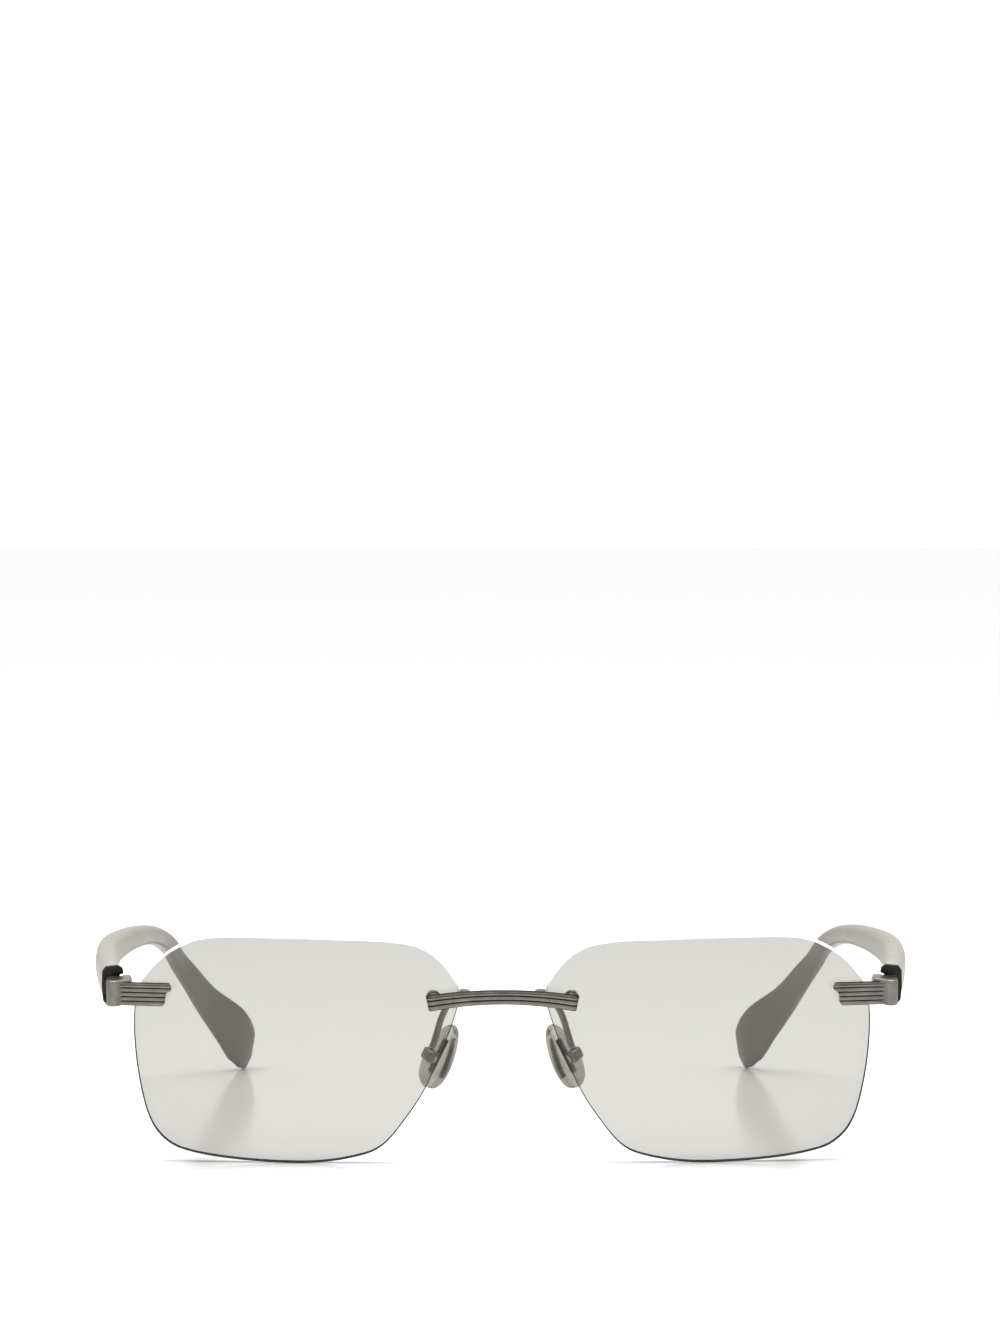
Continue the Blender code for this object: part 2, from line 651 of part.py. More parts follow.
def make_temple(label, side, hinge):
    centres, shapes = temple_stations(side)
    rings = []
    for index, centre in enumerate(centres):
        run = (centres[min(index + 1, len(centres) - 1)] - centres[max(index - 1, 0)]).normalized()
        if index == 0:
            run = Vector((0.0, math.cos(FRONT_LEAN), math.sin(FRONT_LEAN)))
        rings.append(temple_ring(centre, run, shapes[index]))
    to_hinge = hinge_matrix(side).inverted() @ Matrix.Rotation(-FRONT_LEAN, 4, "X")
    temple = add_object("temple_" + label, loft_mesh("temple", rings), hinge, to_hinge, acetate)

    reach = int(len(centres) * CORE_REACH)
    bore_start = centres[0] * 2 - centres[1]
    bore = [bore_start] + centres[:reach:2] + [centres[reach]]
    channel = add_object("core_channel_" + label,
                         solid_from_curve("core_channel",
                                          wire_curve("core_channel", bore, CORE_RADIUS + CORE_PLAY)),
                         hinge, to_hinge)
    boolean(temple, channel, "DIFFERENCE")
    core = centres[:reach:2]
    add_object("temple_core_" + label, wire_curve("temple_core", core, CORE_RADIUS), hinge,
               to_hinge, steel)


def make_temple_cap(label, side, hinge):
    """Metal cap on the temple's front end, with the hinge's middle knuckle."""
    to_hinge = hinge_matrix(side).inverted()
    cap = add_object("temple_cap_" + label,
                     facing_prism("temple_cap", CAP_OUTLINE, CAP_FRONT,
                                  CAP_FRONT + CAP_THICKNESS, side),
                     hinge, to_hinge, dark_metal)
    web = ((CAP_WEB[0], CAP_FRONT + 2 * GAP), (CAP_WEB[1], CAP_FRONT + CAP_THICKNESS - 2 * GAP))
    low = KNUCKLE_LEVELS[1] + KNUCKLE_CLEARANCE
    high = KNUCKLE_LEVELS[2] - KNUCKLE_CLEARANCE
    for other in knuckle("knuckle_middle_" + label, low, high, side, web):
        boolean(cap, other, "UNION")
    boolean(cap, hinge_bore("cap_bore_" + label, side), "DIFFERENCE")


# ---------------------------------------------------------------- nose pads

def pad_ring(along, width, thickness, count=16):
    middle = Vector((0.0, PAD_OFFSET, PAD_RISE + along))
    ring = []
    for index in range(count):
        angle = 2 * math.pi * index / count
        ring.append(middle + Vector((width / 2 * math.cos(angle),
                                     thickness / 2 * math.sin(angle), 0.0)))
    return ring


def make_nose_pad(label, side):
    pivot = make_empty("pad_pivot_" + label, pad_matrix(side), front)
    rings = []
    steps = 14
    for step in range(steps + 1):
        share = -math.cos(math.pi * (step + 0.35) / (steps + 0.7))      # -1 is the lower end
        round_off = math.sqrt(1.0 - share * share)
        taper = 1.0 - PAD_TAPER * share
        rings.append(pad_ring(share * PAD_LENGTH / 2, PAD_WIDTH * taper * round_off ** 0.8,
                              PAD_THICKNESS * round_off ** 0.55))
    pad = add_object("nose_pad_" + label, loft_mesh("nose_pad", rings), pivot, material=silicone)

    wide, thick, long = PAD_PLATE
    plate_low = Vector((-wide / 2, PAD_OFFSET - thick / 2, PAD_RISE - long / 2))
    plate_high = Vector((wide / 2, PAD_OFFSET + thick / 2, PAD_RISE + long / 2))
    stem_wide, stem_tall = PAD_STEM
    stem_low = Vector((-stem_wide / 2, -PAD_STEM_REAR, -stem_tall / 2))
    stem_high = Vector((stem_wide / 2, PAD_OFFSET - 2 * GAP, stem_tall / 2))
    play = Vector((PAD_PLAY, PAD_PLAY, PAD_PLAY))
    pocket = add_object("pad_pocket_" + label,
                        box_mesh("pad_pocket", plate_low - play, plate_high + play), pivot)
    throat = add_object("pad_throat_" + label,
                        box_mesh("pad_throat", stem_low - play, stem_high + play), pivot)
    boolean(pad, pocket, "DIFFERENCE")
    boolean(pad, throat, "DIFFERENCE")

    core = add_object("pad_core_" + label, box_mesh("pad_core", plate_low, plate_high), pivot,
                      material=dark_metal)
    stem = add_object("pad_stem_" + label, box_mesh("pad_stem", stem_low, stem_high), pivot)
    boolean(core, stem, "UNION")
    eye = add_object("pad_eye_" + label,
                     rod_mesh("pad_eye", PAD_SCREW_RADIUS + GAP, -CUT_PAST, CUT_PAST, segments=12),
                     pivot, SIDEWAYS)
    boolean(core, eye, "DIFFERENCE")
    return pivot


def make_pad_holder(label, side, pivot):
    wide, deep, high = PAD_BOX
    box = add_object("pad_box_" + label,
                     box_mesh("pad_box", (-wide / 2, -PAD_BOX_REAR, -high / 2),
                              (wide / 2, deep - PAD_BOX_REAR, high / 2)), pivot, material=pewter)
    bevel_edges(box)
    slot_half = PAD_STEM[0] / 2 + PAD_SLOT_PLAY
    slot = add_object("pad_slot_" + label,
                      box_mesh("pad_slot", (-slot_half, PAD_BOX_WALL - PAD_BOX_REAR, -CUT_PAST),
                               (slot_half, CUT_PAST, CUT_PAST)), pivot)
    boolean(box, slot, "DIFFERENCE")
    bore = add_object("pad_box_bore_" + label,
                      rod_mesh("pad_box_bore", PAD_SCREW_RADIUS + GAP, -CUT_PAST, CUT_PAST,
                               segments=12), pivot, SIDEWAYS)
    boolean(box, bore, "DIFFERENCE")
    head_radius, head_height = PAD_SCREW_HEAD
    head = wide / 2 + GAP
    tail = -wide / 2 - PAD_SCREW_TAIL
    profile = [(0.0, head + head_height), (head_radius, head + head_height), (head_radius, head),
               (PAD_SCREW_RADIUS, head), (PAD_SCREW_RADIUS, tail), (0.0, tail)]
    facing = Matrix.Rotation(-side * math.pi / 2, 4, "Y")
    turned("pad_screw_" + label, profile, pivot, facing, steel, steps=12)

    end = pad_matrix(side) @ Vector((0.0, -PAD_ARM_RADIUS, high / 2 + PAD_ARM_RADIUS / 2))
    route = [Vector((side * x * MM, y * MM, z * MM)) for x, y, z in PAD_ARM_ROUTE] + [end]
    add_object("pad_arm_" + label, wire_curve("pad_arm", smooth_path(route, 4), PAD_ARM_RADIUS),
               front, material=pewter)


# ---------------------------------------------------------------- build

clear_scene()
parts = make_collection("rimless_eyeglasses")
cutters = make_collection("cutters")
guides = make_collection("guides")

lens_tint = make_material("lens_tint", (0.72, 0.71, 0.68), 0.04, transmission=0.9)
pewter = make_material("pewter", (0.30, 0.285, 0.26), 0.42, metallic=1.0)
dark_metal = make_material("dark_metal", (0.12, 0.115, 0.105), 0.4, metallic=1.0)
steel = make_material("steel", (0.5, 0.49, 0.47), 0.3, metallic=1.0)
acetate = make_material("acetate", (0.62, 0.60, 0.55), 0.5)
silicone = make_material("silicone", (0.80, 0.81, 0.78), 0.25, transmission=0.6)
clear_plastic = make_material("clear_plastic", (0.85, 0.85, 0.84), 0.2, transmission=0.5)

origin = make_empty("glasses_origin", Matrix.Translation((0.0, -DEPTH_TO_MIDDLE, TABLE_LIFT)))
front = make_empty("front_frame", Matrix.Rotation(FRONT_LEAN, 4, "X"), origin)

make_bridge()
for label, side in SIDES.items():
    make_lens(label, side)
    for place in MOUNT_PLACE:
        make_lens_fasteners(place, label, side)
    make_end_piece(label, side)
    make_hinge_screw(label, side)
    hinge = make_empty("hinge_" + label, hinge_matrix(side), front)
    make_temple(label, side, hinge)
    make_temple_cap(label, side, hinge)
    pad_pivot = make_nose_pad(label, side)
    make_pad_holder(label, side, pad_pivot)
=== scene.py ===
"""Looks of the rimless spectacles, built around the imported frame.

Metres, +Z up.  Three kinds of local frame are used, as in the part's own source:
  front  x across, y through the lenses towards the face, z up the lens plane
  mount  origin on a lens's front face at a drilled hole, y through the lens
  pad    x along the pad's width, y towards the nose, z up the pad
"""
import math

import bmesh
import bpy
from mathutils import Matrix, Vector


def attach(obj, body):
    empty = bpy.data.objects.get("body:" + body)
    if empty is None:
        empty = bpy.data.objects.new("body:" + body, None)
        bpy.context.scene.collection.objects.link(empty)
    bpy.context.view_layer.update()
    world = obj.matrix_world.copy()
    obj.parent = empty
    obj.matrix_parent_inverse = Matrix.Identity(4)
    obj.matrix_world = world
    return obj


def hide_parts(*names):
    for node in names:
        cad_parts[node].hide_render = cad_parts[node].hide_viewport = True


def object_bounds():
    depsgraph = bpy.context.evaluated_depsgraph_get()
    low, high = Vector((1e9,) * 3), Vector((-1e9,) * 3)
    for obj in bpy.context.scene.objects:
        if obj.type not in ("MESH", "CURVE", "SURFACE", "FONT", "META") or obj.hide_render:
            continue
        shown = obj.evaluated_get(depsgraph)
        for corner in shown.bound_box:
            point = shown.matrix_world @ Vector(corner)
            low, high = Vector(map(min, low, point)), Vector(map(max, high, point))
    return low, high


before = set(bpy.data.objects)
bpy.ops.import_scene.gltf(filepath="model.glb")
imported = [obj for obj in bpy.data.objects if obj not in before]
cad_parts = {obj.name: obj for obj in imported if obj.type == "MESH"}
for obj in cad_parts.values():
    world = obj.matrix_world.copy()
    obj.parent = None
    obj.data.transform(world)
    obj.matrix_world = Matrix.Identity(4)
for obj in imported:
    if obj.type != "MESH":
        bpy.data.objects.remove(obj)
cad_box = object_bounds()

MM = 0.001
SIDES = {"right": -1, "left": 1}          # the wearer's sides

# Finish shared by the solids
SHARP = 40.0                              # degrees; edges that turn by more stay crisp
SHARP_LENS = 8.0
SHARP_NUT = 30.0
SHARP_JOINED = 32.0
SHARP_MOULDED = 60.0
BEVEL_LEAST = 25.0                        # degrees; edges that turn by less are not rounded
WELD = 0.0005 * MM
ROUND = 48                                # points round a cylinder
TURNED_ROUND = 56
STUD_ROUND = 40
SMALL_ROUND = 32
WIRE_ROUND = 28
RIM_CHAMFER = 0.06 * MM
SCREW_CHAMFER = 0.1 * MM
WIRE_DOME = (80, 60, 40, 20)              # degrees at the rings of a wire's domed end
DOME_SHARE = 0.4                          # how far that end reaches, of the wire's radius
CUT_PAST = 3 * MM                         # how far a cutting shape runs past what it cuts
GAP = 0.05 * MM

# Whole object
FRONT_LEAN = math.radians(8.0)            # the lenses lean forward over the table
DEPTH_TO_MIDDLE = 61.51 * MM              # from the foot of the lens plane to the footprint's middle
TABLE_LIFT = -0.207 * MM

# Lenses
LENS_THICKNESS = 2.2 * MM
LENS_RADIUS = 150.0 * MM
LENS_WRAP = math.radians(3.0)
LENS_CENTRE = (36.45 * MM, 20.5 * MM)
LENS_OUTLINE = [                          # left lens in millimetres: across, up
    (38.0, 40.95), (28.8, 40.7), (20.0, 40.25), (14.2, 38.9), (10.05, 35.5), (7.8, 31.0),
    (8.8, 25.7), (13.2, 14.65), (17.2, 8.1), (21.3, 3.2), (26.0, 1.2), (34.0, 0.05),
    (45.2, 0.3), (54.5, 1.4), (59.3, 3.2), (62.5, 7.4), (64.4, 15.5), (65.1, 24.5),
    (64.3, 30.8), (61.5, 35.3), (57.0, 38.8), (51.0, 40.7)]
LENS_EDGE_BEVEL = 0.2 * MM
OUTLINE_STEPS = 12                        # points between two outline points
LENS_RINGS = 14
EDGE_ANGLES = (22.5, 45.0, 67.5, 90.0)    # degrees at the rings of the rounded edge

# Lens mounts
MOUNT_PLACE = {"nasal": (11.9 * MM, 29.8 * MM), "temporal": (61.4 * MM, 30.5 * MM)}
LENS_HOLE_RADIUS = 1.0 * MM
STUD_RADIUS = 0.6 * MM
BOSS_RADIUS = 1.15 * MM
BUSHING_FLANGE_RADIUS = 1.35 * MM
BUSHING_FLANGE = 0.3 * MM
WASHER_RADIUS = 1.2 * MM
WASHER_THICKNESS = 0.3 * MM
NUT_RADIUS = 1.25 * MM
NUT_HEIGHT = 1.2 * MM
NUT_BEVEL = 0.03 * MM
NUT_CROWN = (0.06 * MM, 0.72)             # width on the flats, and share of the height it starts at
STUD_PAST_NUT = 0.25 * MM
STUD_SHOULDER_CHAMFER = 0.08 * MM
STUD_TIP_CHAMFER = 0.12 * MM
THREAD_PITCH = 0.25 * MM
THREAD_DEPTH = 0.07 * MM
THREAD_RUN_OUT = 0.1 * MM
STUD_END = (LENS_THICKNESS + BUSHING_FLANGE + WASHER_THICKNESS + NUT_HEIGHT + 3 * GAP
            + STUD_PAST_NUT)

# Bridge
BRIDGE_HALF = 13.2 * MM
BRIDGE_THICKNESS = 1.6 * MM
BRIDGE_STAND_OFF = 1.35 * MM
BRIDGE_BOW = 0.6 * MM
BRIDGE_MID_HEIGHT = 30.72 * MM
BRIDGE_ARCH = 1.3 * MM
BRIDGE_DEEP_MIDDLE = 2.35 * MM
BRIDGE_DEEP_END = 2.75 * MM
BRIDGE_REEDS = 3
REED_DEPTH = 0.28 * MM
REED_FULLNESS = 0.7                       # 1 is a plain arch, less is fuller
REED_STEPS = 14                           # points across one reed
BRIDGE_RECESS = 2                         # points on each side of a valley that hold tarnish
ARM_RECESS = 1
TOP_STEPS = 6                             # points under the top edge that take painted shade
BAR_CORNER = 0.3 * MM
CORNER_STEPS = 6                          # points round one rear corner of a bar
BACK_COLUMNS = 2 * CORNER_STEPS + 1       # of a bar's skin, over its top, back and underside
BRIDGE_RINGS = 48
SLOPE_STEP = 0.01                         # share of the half bridge over which its slope is taken
END_BEVEL = 1.1 * MM
END_SET_BACK = 0.88 * MM

# End pieces
ARM_START = 58.1 * MM
ARM_END = 67.6 * MM
ARM_HEIGHT = 4.0 * MM
ARM_MIDDLE = 30.45 * MM
ARM_THICKNESS = 1.5 * MM
ARM_STAND_OFF = 1.2 * MM
ARM_REEDS = 5
ARM_TURN = math.radians(6.0)
BLOCK_BOTTOM = 28.4 * MM
BLOCK_TOP = 33.0 * MM
BLOCK_REAR = 5.9 * MM
BLOCK_OUTLINE = [                         # seen from above, in millimetres: across, back
    (65.3, 3.4), (66.9, 2.6), (67.8, 1.75), (68.9, 1.75), (69.5, 2.35), (69.5, 5.9), (65.3, 5.9)]
ARM_STEP_OUTLINE = [                      # what the arm's nasal end is cut by: across, up
    (57.0, 33.1), (59.1, 33.1), (58.25, 32.05), (58.1, 31.4), (58.95, 30.9), (58.95, 30.65),
    (59.25, 29.65), (59.25, 29.05), (60.1, 27.9), (57.0, 27.9)]
BLOCK_BEVEL = 0.28 * MM
ARM_RINGS = 24
ARM_CUT_DEPTH = 10 * MM

# Hinges
KNUCKLE_RADIUS = 1.05 * MM
HINGE_PLACE = (66.3 * MM, BLOCK_REAR + KNUCKLE_RADIUS)
HINGE_BORE = 0.6 * MM
HINGE_SCREW_RADIUS = 0.52 * MM
HINGE_SCREW_HEAD = 0.9 * MM
HINGE_SCREW_HEAD_HEIGHT = 0.45 * MM
HINGE_SCREW_DOME = 0.25 * MM
HINGE_SCREW_TAIL = 0.15 * MM
SCREW_SLOT = (0.26 * MM, 0.22 * MM)
KNUCKLE_LEVELS = (28.6 * MM, 29.8 * MM, 31.05 * MM, 32.3 * MM)
KNUCKLE_CLEARANCE = 0.06 * MM
KNUCKLE_CHAMFER = 0.1 * MM
END_WEB = (65.5 * MM, 66.9 * MM)
CAP_WEB = (66.4 * MM, 67.9 * MM)
WEB_BITE = 0.2 * MM
WEB_DEPTH = 1.0 * MM

# Temples
CAP_THICKNESS = 0.8 * MM
CAP_FRONT = BLOCK_REAR + 0.1 * MM
CAP_BEVEL = 0.2 * MM
CAP_OUTLINE = [                           # across, up
    (67.5, 28.0), (68.2, 27.5), (69.7, 27.5), (70.4, 28.4), (70.6, 31.0), (70.5, 33.7), (69.9, 34.6),
    (67.7, 34.8), (66.9, 34.3), (66.7, 33.3), (67.5, 33.1)]
TEMPLE_START = (68.95, 31.1)
TEMPLE_START_SIZE = (3.2, 6.7)
TEMPLE_STATIONS = [                       # across, back, up, thickness, height in mm, twist in degrees
    (70.10, 12.0, 32.3, 3.7, 6.8, 0.0),
    (71.30, 23.0, 33.5, 4.0, 6.2, 0.0),
    (71.60, 36.0, 34.1, 4.1, 5.6, 0.0),
    (70.80, 50.0, 34.1, 4.0, 4.8, 0.0),
    (69.40, 64.0, 33.7, 3.8, 4.2, 0.0),
    (67.90, 77.0, 32.8, 3.5, 3.8, 0.0),
    (66.30, 88.0, 31.2, 3.2, 3.6, 4.0),
    (64.60, 96.5, 28.6, 3.0, 3.7, 8.0),
    (63.20, 103.0, 24.9, 2.9, 4.0, 13.0),
    (61.20, 108.0, 21.2, 2.8, 4.7, 17.0),
    (58.20, 114.5, 15.8, 2.8, 5.9, 20.0),
    (53.80, 120.5, 10.0, 2.8, 8.4, 20.0),
    (51.80, 124.6, 5.5, 2.6, 8.5, 20.0),
    (51.30, 127.0, 2.35, 2.0, 5.5, 20.0),
    (51.20, 128.0, 0.7, 0.9, 2.0, 20.0)]
TEMPLE_FRONT_RINGS = ((0.25 * MM, 0.0), (0.08 * MM, 0.051 * MM))     # inset, distance back
TEMPLE_FRONT_DEPTH = 0.1 * MM             # of the rounding at the cap
TEMPLE_TIP_RINGS = ((0.85, 0.1 * MM), (0.5, 0.2 * MM))               # share of the size, distance on
TEMPLE_SQUARENESS = 2.6
TEMPLE_STEPS = 12                         # rings between two stations
TEMPLE_ROUND = 56                         # points round a ring

# Nose pads
PAD_PIVOT = (12.6 * MM, 6.3 * MM, 18.5 * MM)
PAD_SPLAY = math.radians(25.0)
PAD_TURN = math.radians(38.0)
PAD_LENGTH = 12.2 * MM
PAD_WIDTH = 7.4 * MM
PAD_THICKNESS = 2.4 * MM
PAD_TAPER = 0.2
PAD_OFFSET = 2.1 * MM
PAD_RISE = 0.1 * MM
PAD_FULLNESS = (0.8, 0.55)                # of its outline and of its side view; 1 is an ellipse
PAD_RINGS = 40
PAD_END_GAP = 0.35                        # of a ring's step, left out at each end
PAD_PLATE = (1.5 * MM, 0.5 * MM, 6.6 * MM)
PAD_PLATE_BEVEL = 0.2 * MM
PAD_STEM = (0.9 * MM, 1.6 * MM)
PAD_STEM_REAR = 0.75 * MM
PAD_STEM_BEVEL = 0.15 * MM
PAD_BOX = (2.6 * MM, 2.0 * MM, 2.2 * MM)
PAD_BOX_REAR = 1.4 * MM
PAD_BOX_WALL = 0.25 * MM
PAD_BOX_BEVEL = 0.5 * MM
PAD_SLOT_PLAY = 0.1 * MM
PAD_SCREW_RADIUS = 0.35 * MM
PAD_SCREW_HEAD = (0.65 * MM, 0.35 * MM)
PAD_SCREW_TAIL = 0.1 * MM
PAD_SCREW_SLOT = (0.18 * MM, 0.15 * MM)
PAD_ARM_RADIUS = 0.58 * MM
PAD_ARM_ROUTE = [                         # left arm, front frame, millimetres
    (5.8, 0.25, 30.5), (5.8, 2.0, 30.5), (6.6, 4.6, 30.3), (8.0, 6.3, 29.4), (9.6, 6.9, 27.6),
    (10.8, 6.9, 25.2), (11.6, 6.6, 22.6)]
PAD_ARM_STEPS = 10                        # points between two route points

# Camera and light
VIEW_DISTANCE = 0.80
VIEW_ELEVATION = math.radians(7.4)
VIEW_AZIMUTH = math.radians(-0.65)
VIEW_TARGET_HEIGHT = 20 * MM
CAMERA_LENS = 122.14
CAMERA_TILT = math.radians(4.865)         # the object sits low in the picture
CAMERA_PAN = math.radians(0.03)
FLOOR_GAP = 0.02 * MM
FLOOR_HALF = 6.0
FLOOR_COLOUR = (0.92, 0.92, 0.915)
FLOOR_ROUGHNESS = 0.16
FLOOR_SHINE = 0.36
WORLD_SEEN = 1.15                         # strength that eyes and mirrors see
WORLD_FILL = 0.68                         # strength that lights matt surfaces
LAMP_PLACE = (0.0, -0.18, 1.1)            # above the lenses, in line with their lean
LAMP_AIM = (0.0, -0.05, 0.0)
LAMP_SIZE = (1.1, 0.62)
LAMP_POWER = 17.0


# ---------------------------------------------------------------- frames

BACKWARD = Matrix.Rotation(-math.pi / 2, 4, "X")     # turns local z to face along y
FORWARD = Matrix.Rotation(math.pi / 2, 4, "X")       # turns local z to face against y
SIDEWAYS = Matrix.Rotation(math.pi / 2, 4, "Y")      # turns local z to face along x
TABLE = Matrix.Translation((0.0, -DEPTH_TO_MIDDLE, TABLE_LIFT))
FRONT = TABLE @ Matrix.Rotation(FRONT_LEAN, 4, "X")


def lens_face(across, up):
    """Point on the left lens's front face, in the front frame, and the direction into the lens."""
    rise = up - LENS_CENTRE[1]
    along = across - LENS_CENTRE[0]
    for _ in range(4):
        back = LENS_RADIUS - math.sqrt(LENS_RADIUS ** 2 - along ** 2 - rise ** 2)
        along = (across - LENS_CENTRE[0] + back * math.sin(LENS_WRAP)) / math.cos(LENS_WRAP)
    wrap = Matrix.Rotation(LENS_WRAP, 3, "Z")
    point = wrap @ Vector((along, back, rise)) + Vector((LENS_CENTRE[0], 0.0, LENS_CENTRE[1]))
    inward = wrap @ Vector((-along, LENS_RADIUS - back, -rise)) / LENS_RADIUS
    return point, inward


def mount_matrix(place, side):
    point, inward = lens_face(*MOUNT_PLACE[place])
    point.x *= side
    inward.x *= side
    across = inward.cross(Vector((0.0, 0.0, 1.0))).normalized()
    up = across.cross(inward)
    turn = Matrix((across, inward, up)).transposed().to_4x4()
    return Matrix.Translation(point) @ turn


def pad_matrix(side):
    along = Vector((-side * math.sin(PAD_SPLAY), 0.0, math.cos(PAD_SPLAY)))
    towards = Vector((-side * math.cos(PAD_SPLAY) * math.cos(PAD_TURN), math.sin(PAD_TURN),
                      -math.sin(PAD_SPLAY) * math.cos(PAD_TURN)))
    width = towards.cross(along).normalized()
    towards = along.cross(width)
    turn = Matrix((width, towards, along)).transposed().to_4x4()
    pivot = Vector((side * PAD_PIVOT[0], PAD_PIVOT[1], PAD_PIVOT[2]))
    return Matrix.Translation(pivot) @ turn


# ---------------------------------------------------------------- mesh helpers

def smooth_path(points, steps, closed=False):
    """Points of a Catmull-Rom curve through the given points."""
    points = [Vector(point) for point in points]
    if closed:
        padded = [points[-1]] + points + points[:2]
        spans = len(points)
    else:
        padded = [2 * points[0] - points[1]] + points + [2 * points[-1] - points[-2]]
        spans = len(points) - 1
    curve = []
    for span in range(spans):
        p0, p1, p2, p3 = padded[span:span + 4]
        for step in range(steps):
            t = step / steps
            curve.append(0.5 * (2 * p1 + (p2 - p0) * t + (2 * p0 - 5 * p1 + 4 * p2 - p3) * t ** 2
                                + (3 * p1 - p0 - 3 * p2 + p3) * t ** 3))
    if not closed:
        curve.append(points[-1].copy())
    return curve


def mesh_from(name, bm, sharp=SHARP):
    bmesh.ops.recalc_face_normals(bm, faces=bm.faces)
    mesh = bpy.data.meshes.new(name)
    bm.to_mesh(mesh)
    bm.free()
    mesh.shade_smooth()
    mesh.set_sharp_from_angle(angle=math.radians(sharp))
    return mesh


def loft(rings, second=()):
    """Closed skin over a row of equal-sized rings, capped; columns in second take material 1."""
    bm = bmesh.new()
    rows = [[bm.verts.new(point) for point in ring] for ring in rings]
    for near, far in zip(rows, rows[1:]):
        for index in range(len(near)):
            after = (index + 1) % len(near)
            face = bm.faces.new((near[index], near[after], far[after], far[index]))
            face.material_index = 1 if index in second else 0
    bm.faces.new(rows[0])
    bm.faces.new(rows[-1])
    return bm


def bevel_sharp(bm, width, segments=3):
    """Rounds every edge of bm whose faces meet at more than the least angle."""
    bmesh.ops.recalc_face_normals(bm, faces=bm.faces)
    edges = [edge for edge in bm.edges
             if len(edge.link_faces) == 2 and edge.calc_face_angle(0.0) > math.radians(BEVEL_LEAST)]
    bmesh.ops.bevel(bm, geom=edges, offset=width, segments=segments, profile=0.5,
                    affect="EDGES", clamp_overlap=True)
    return bm


def box(low, high):
    bm = bmesh.new()
    bmesh.ops.create_cube(bm, size=1.0)
    bmesh.ops.scale(bm, vec=Vector(high) - Vector(low), verts=bm.verts)
    bmesh.ops.translate(bm, vec=(Vector(high) + Vector(low)) / 2, verts=bm.verts)
    return bm


def prism(outline, low, high):
    """Outline of (x, y) in metres, raised from low to high along z."""
    return loft([[Vector((x, y, level)) for x, y in outline] for level in (low, high)])


def rod(radius, start, end, chamfer=0.0, segments=ROUND):
    """Cylinder along z, with chamfered rims if asked."""
    levels = [(radius, start), (radius, end)]
    if chamfer:
        levels = [(radius - chamfer, start), (radius, start + chamfer), (radius, end - chamfer),
                  (radius - chamfer, end)]
    return loft([[Vector((size * math.cos(2 * math.pi * i / segments),
                          size * math.sin(2 * math.pi * i / segments), level))
                  for i in range(segments)] for size, level in levels])


def turned(profile, segments=TURNED_ROUND):
    """Closed profile of (radius, height) turned about z; a point on the axis closes the solid."""
    bm = bmesh.new()
    rows = []
    for radius, height in profile:
        if radius == 0.0:
            rows.append([bm.verts.new((0.0, 0.0, height))])
        else:
            rows.append([bm.verts.new((radius * math.cos(2 * math.pi * i / segments),
                                       radius * math.sin(2 * math.pi * i / segments), height))
                         for i in range(segments)])
    pairs = list(zip(rows, rows[1:]))
    if profile[0][0] > 0.0:
        pairs.append((rows[-1], rows[0]))
    for near, far in pairs:
        for index in range(segments):
            after = (index + 1) % segments
            corners = [near[index % len(near)], near[after % len(near)],
                       far[after % len(far)], far[index % len(far)]]
            corners = list(dict.fromkeys(corners))
            bm.faces.new(corners)
    return bm


def transformed(bm, matrix):
    bmesh.ops.transform(bm, matrix=matrix, verts=bm.verts)
    return bm


def tube(route, radius):
    """Round wire along a route, with domed ends."""
    frames = []
    up = Vector((0.0, 0.3, 1.0)).normalized()
    for index, centre in enumerate(route):
        run = (route[min(index + 1, len(route) - 1)] - route[max(index - 1, 0)]).normalized()
        across = run.cross(up).normalized()
        up = across.cross(run).normalized()
        frames.append((centre, run, across, up))

    def ring(place, size, shift):
        centre, run, across, rise = place
        return [centre + run * shift + (across * math.cos(2 * math.pi * i / WIRE_ROUND)
                                        + rise * math.sin(2 * math.pi * i / WIRE_ROUND)) * size
                for i in range(WIRE_ROUND)]

    dome = [(radius * math.cos(math.radians(angle)),
             radius * DOME_SHARE * (1 - math.sin(math.radians(angle)))) for angle in WIRE_DOME]
    rings = [ring(frames[0], size, shift) for size, shift in dome]
    rings += [ring(place, radius, 0.0) for place in frames[1:-1]]
    rings += [ring(frames[-1], size, -shift) for size, shift in reversed(dome)]
    return loft(rings)


def fused(name, base, joined=(), cut=(), kept=(), sharp=SHARP, materials=()):
    """One mesh from bmesh solids: base joined with some, cut by others or kept to a shape."""
    made = []

    def temporary(bm):
        mesh = mesh_from("temporary", bm, sharp)
        for material in materials:
            mesh.materials.append(material)
        thing = bpy.data.objects.new("temporary", mesh)
        bpy.context.scene.collection.objects.link(thing)
        made.append(thing)
        return thing

    body = temporary(base)
    for operation, solids in (("UNION", joined), ("DIFFERENCE", cut), ("INTERSECT", kept)):
        for solid in solids:
            modifier = body.modifiers.new(operation.lower(), "BOOLEAN")
            modifier.operation = operation
            modifier.solver = "EXACT"
            modifier.object = temporary(solid)
    depsgraph = bpy.context.evaluated_depsgraph_get()
    mesh = bpy.data.meshes.new_from_object(body.evaluated_get(depsgraph))
    for thing in made:
        bpy.data.objects.remove(thing, do_unlink=True)
    bm = bmesh.new()
    bm.from_mesh(mesh)
    bmesh.ops.remove_doubles(bm, verts=bm.verts, dist=WELD)
    bmesh.ops.dissolve_degenerate(bm, edges=bm.edges, dist=WELD)
    bm.to_mesh(mesh)
    bm.free()
    mesh.name = name
    mesh.shade_smooth()
    mesh.set_sharp_from_angle(angle=math.radians(sharp))
    return mesh


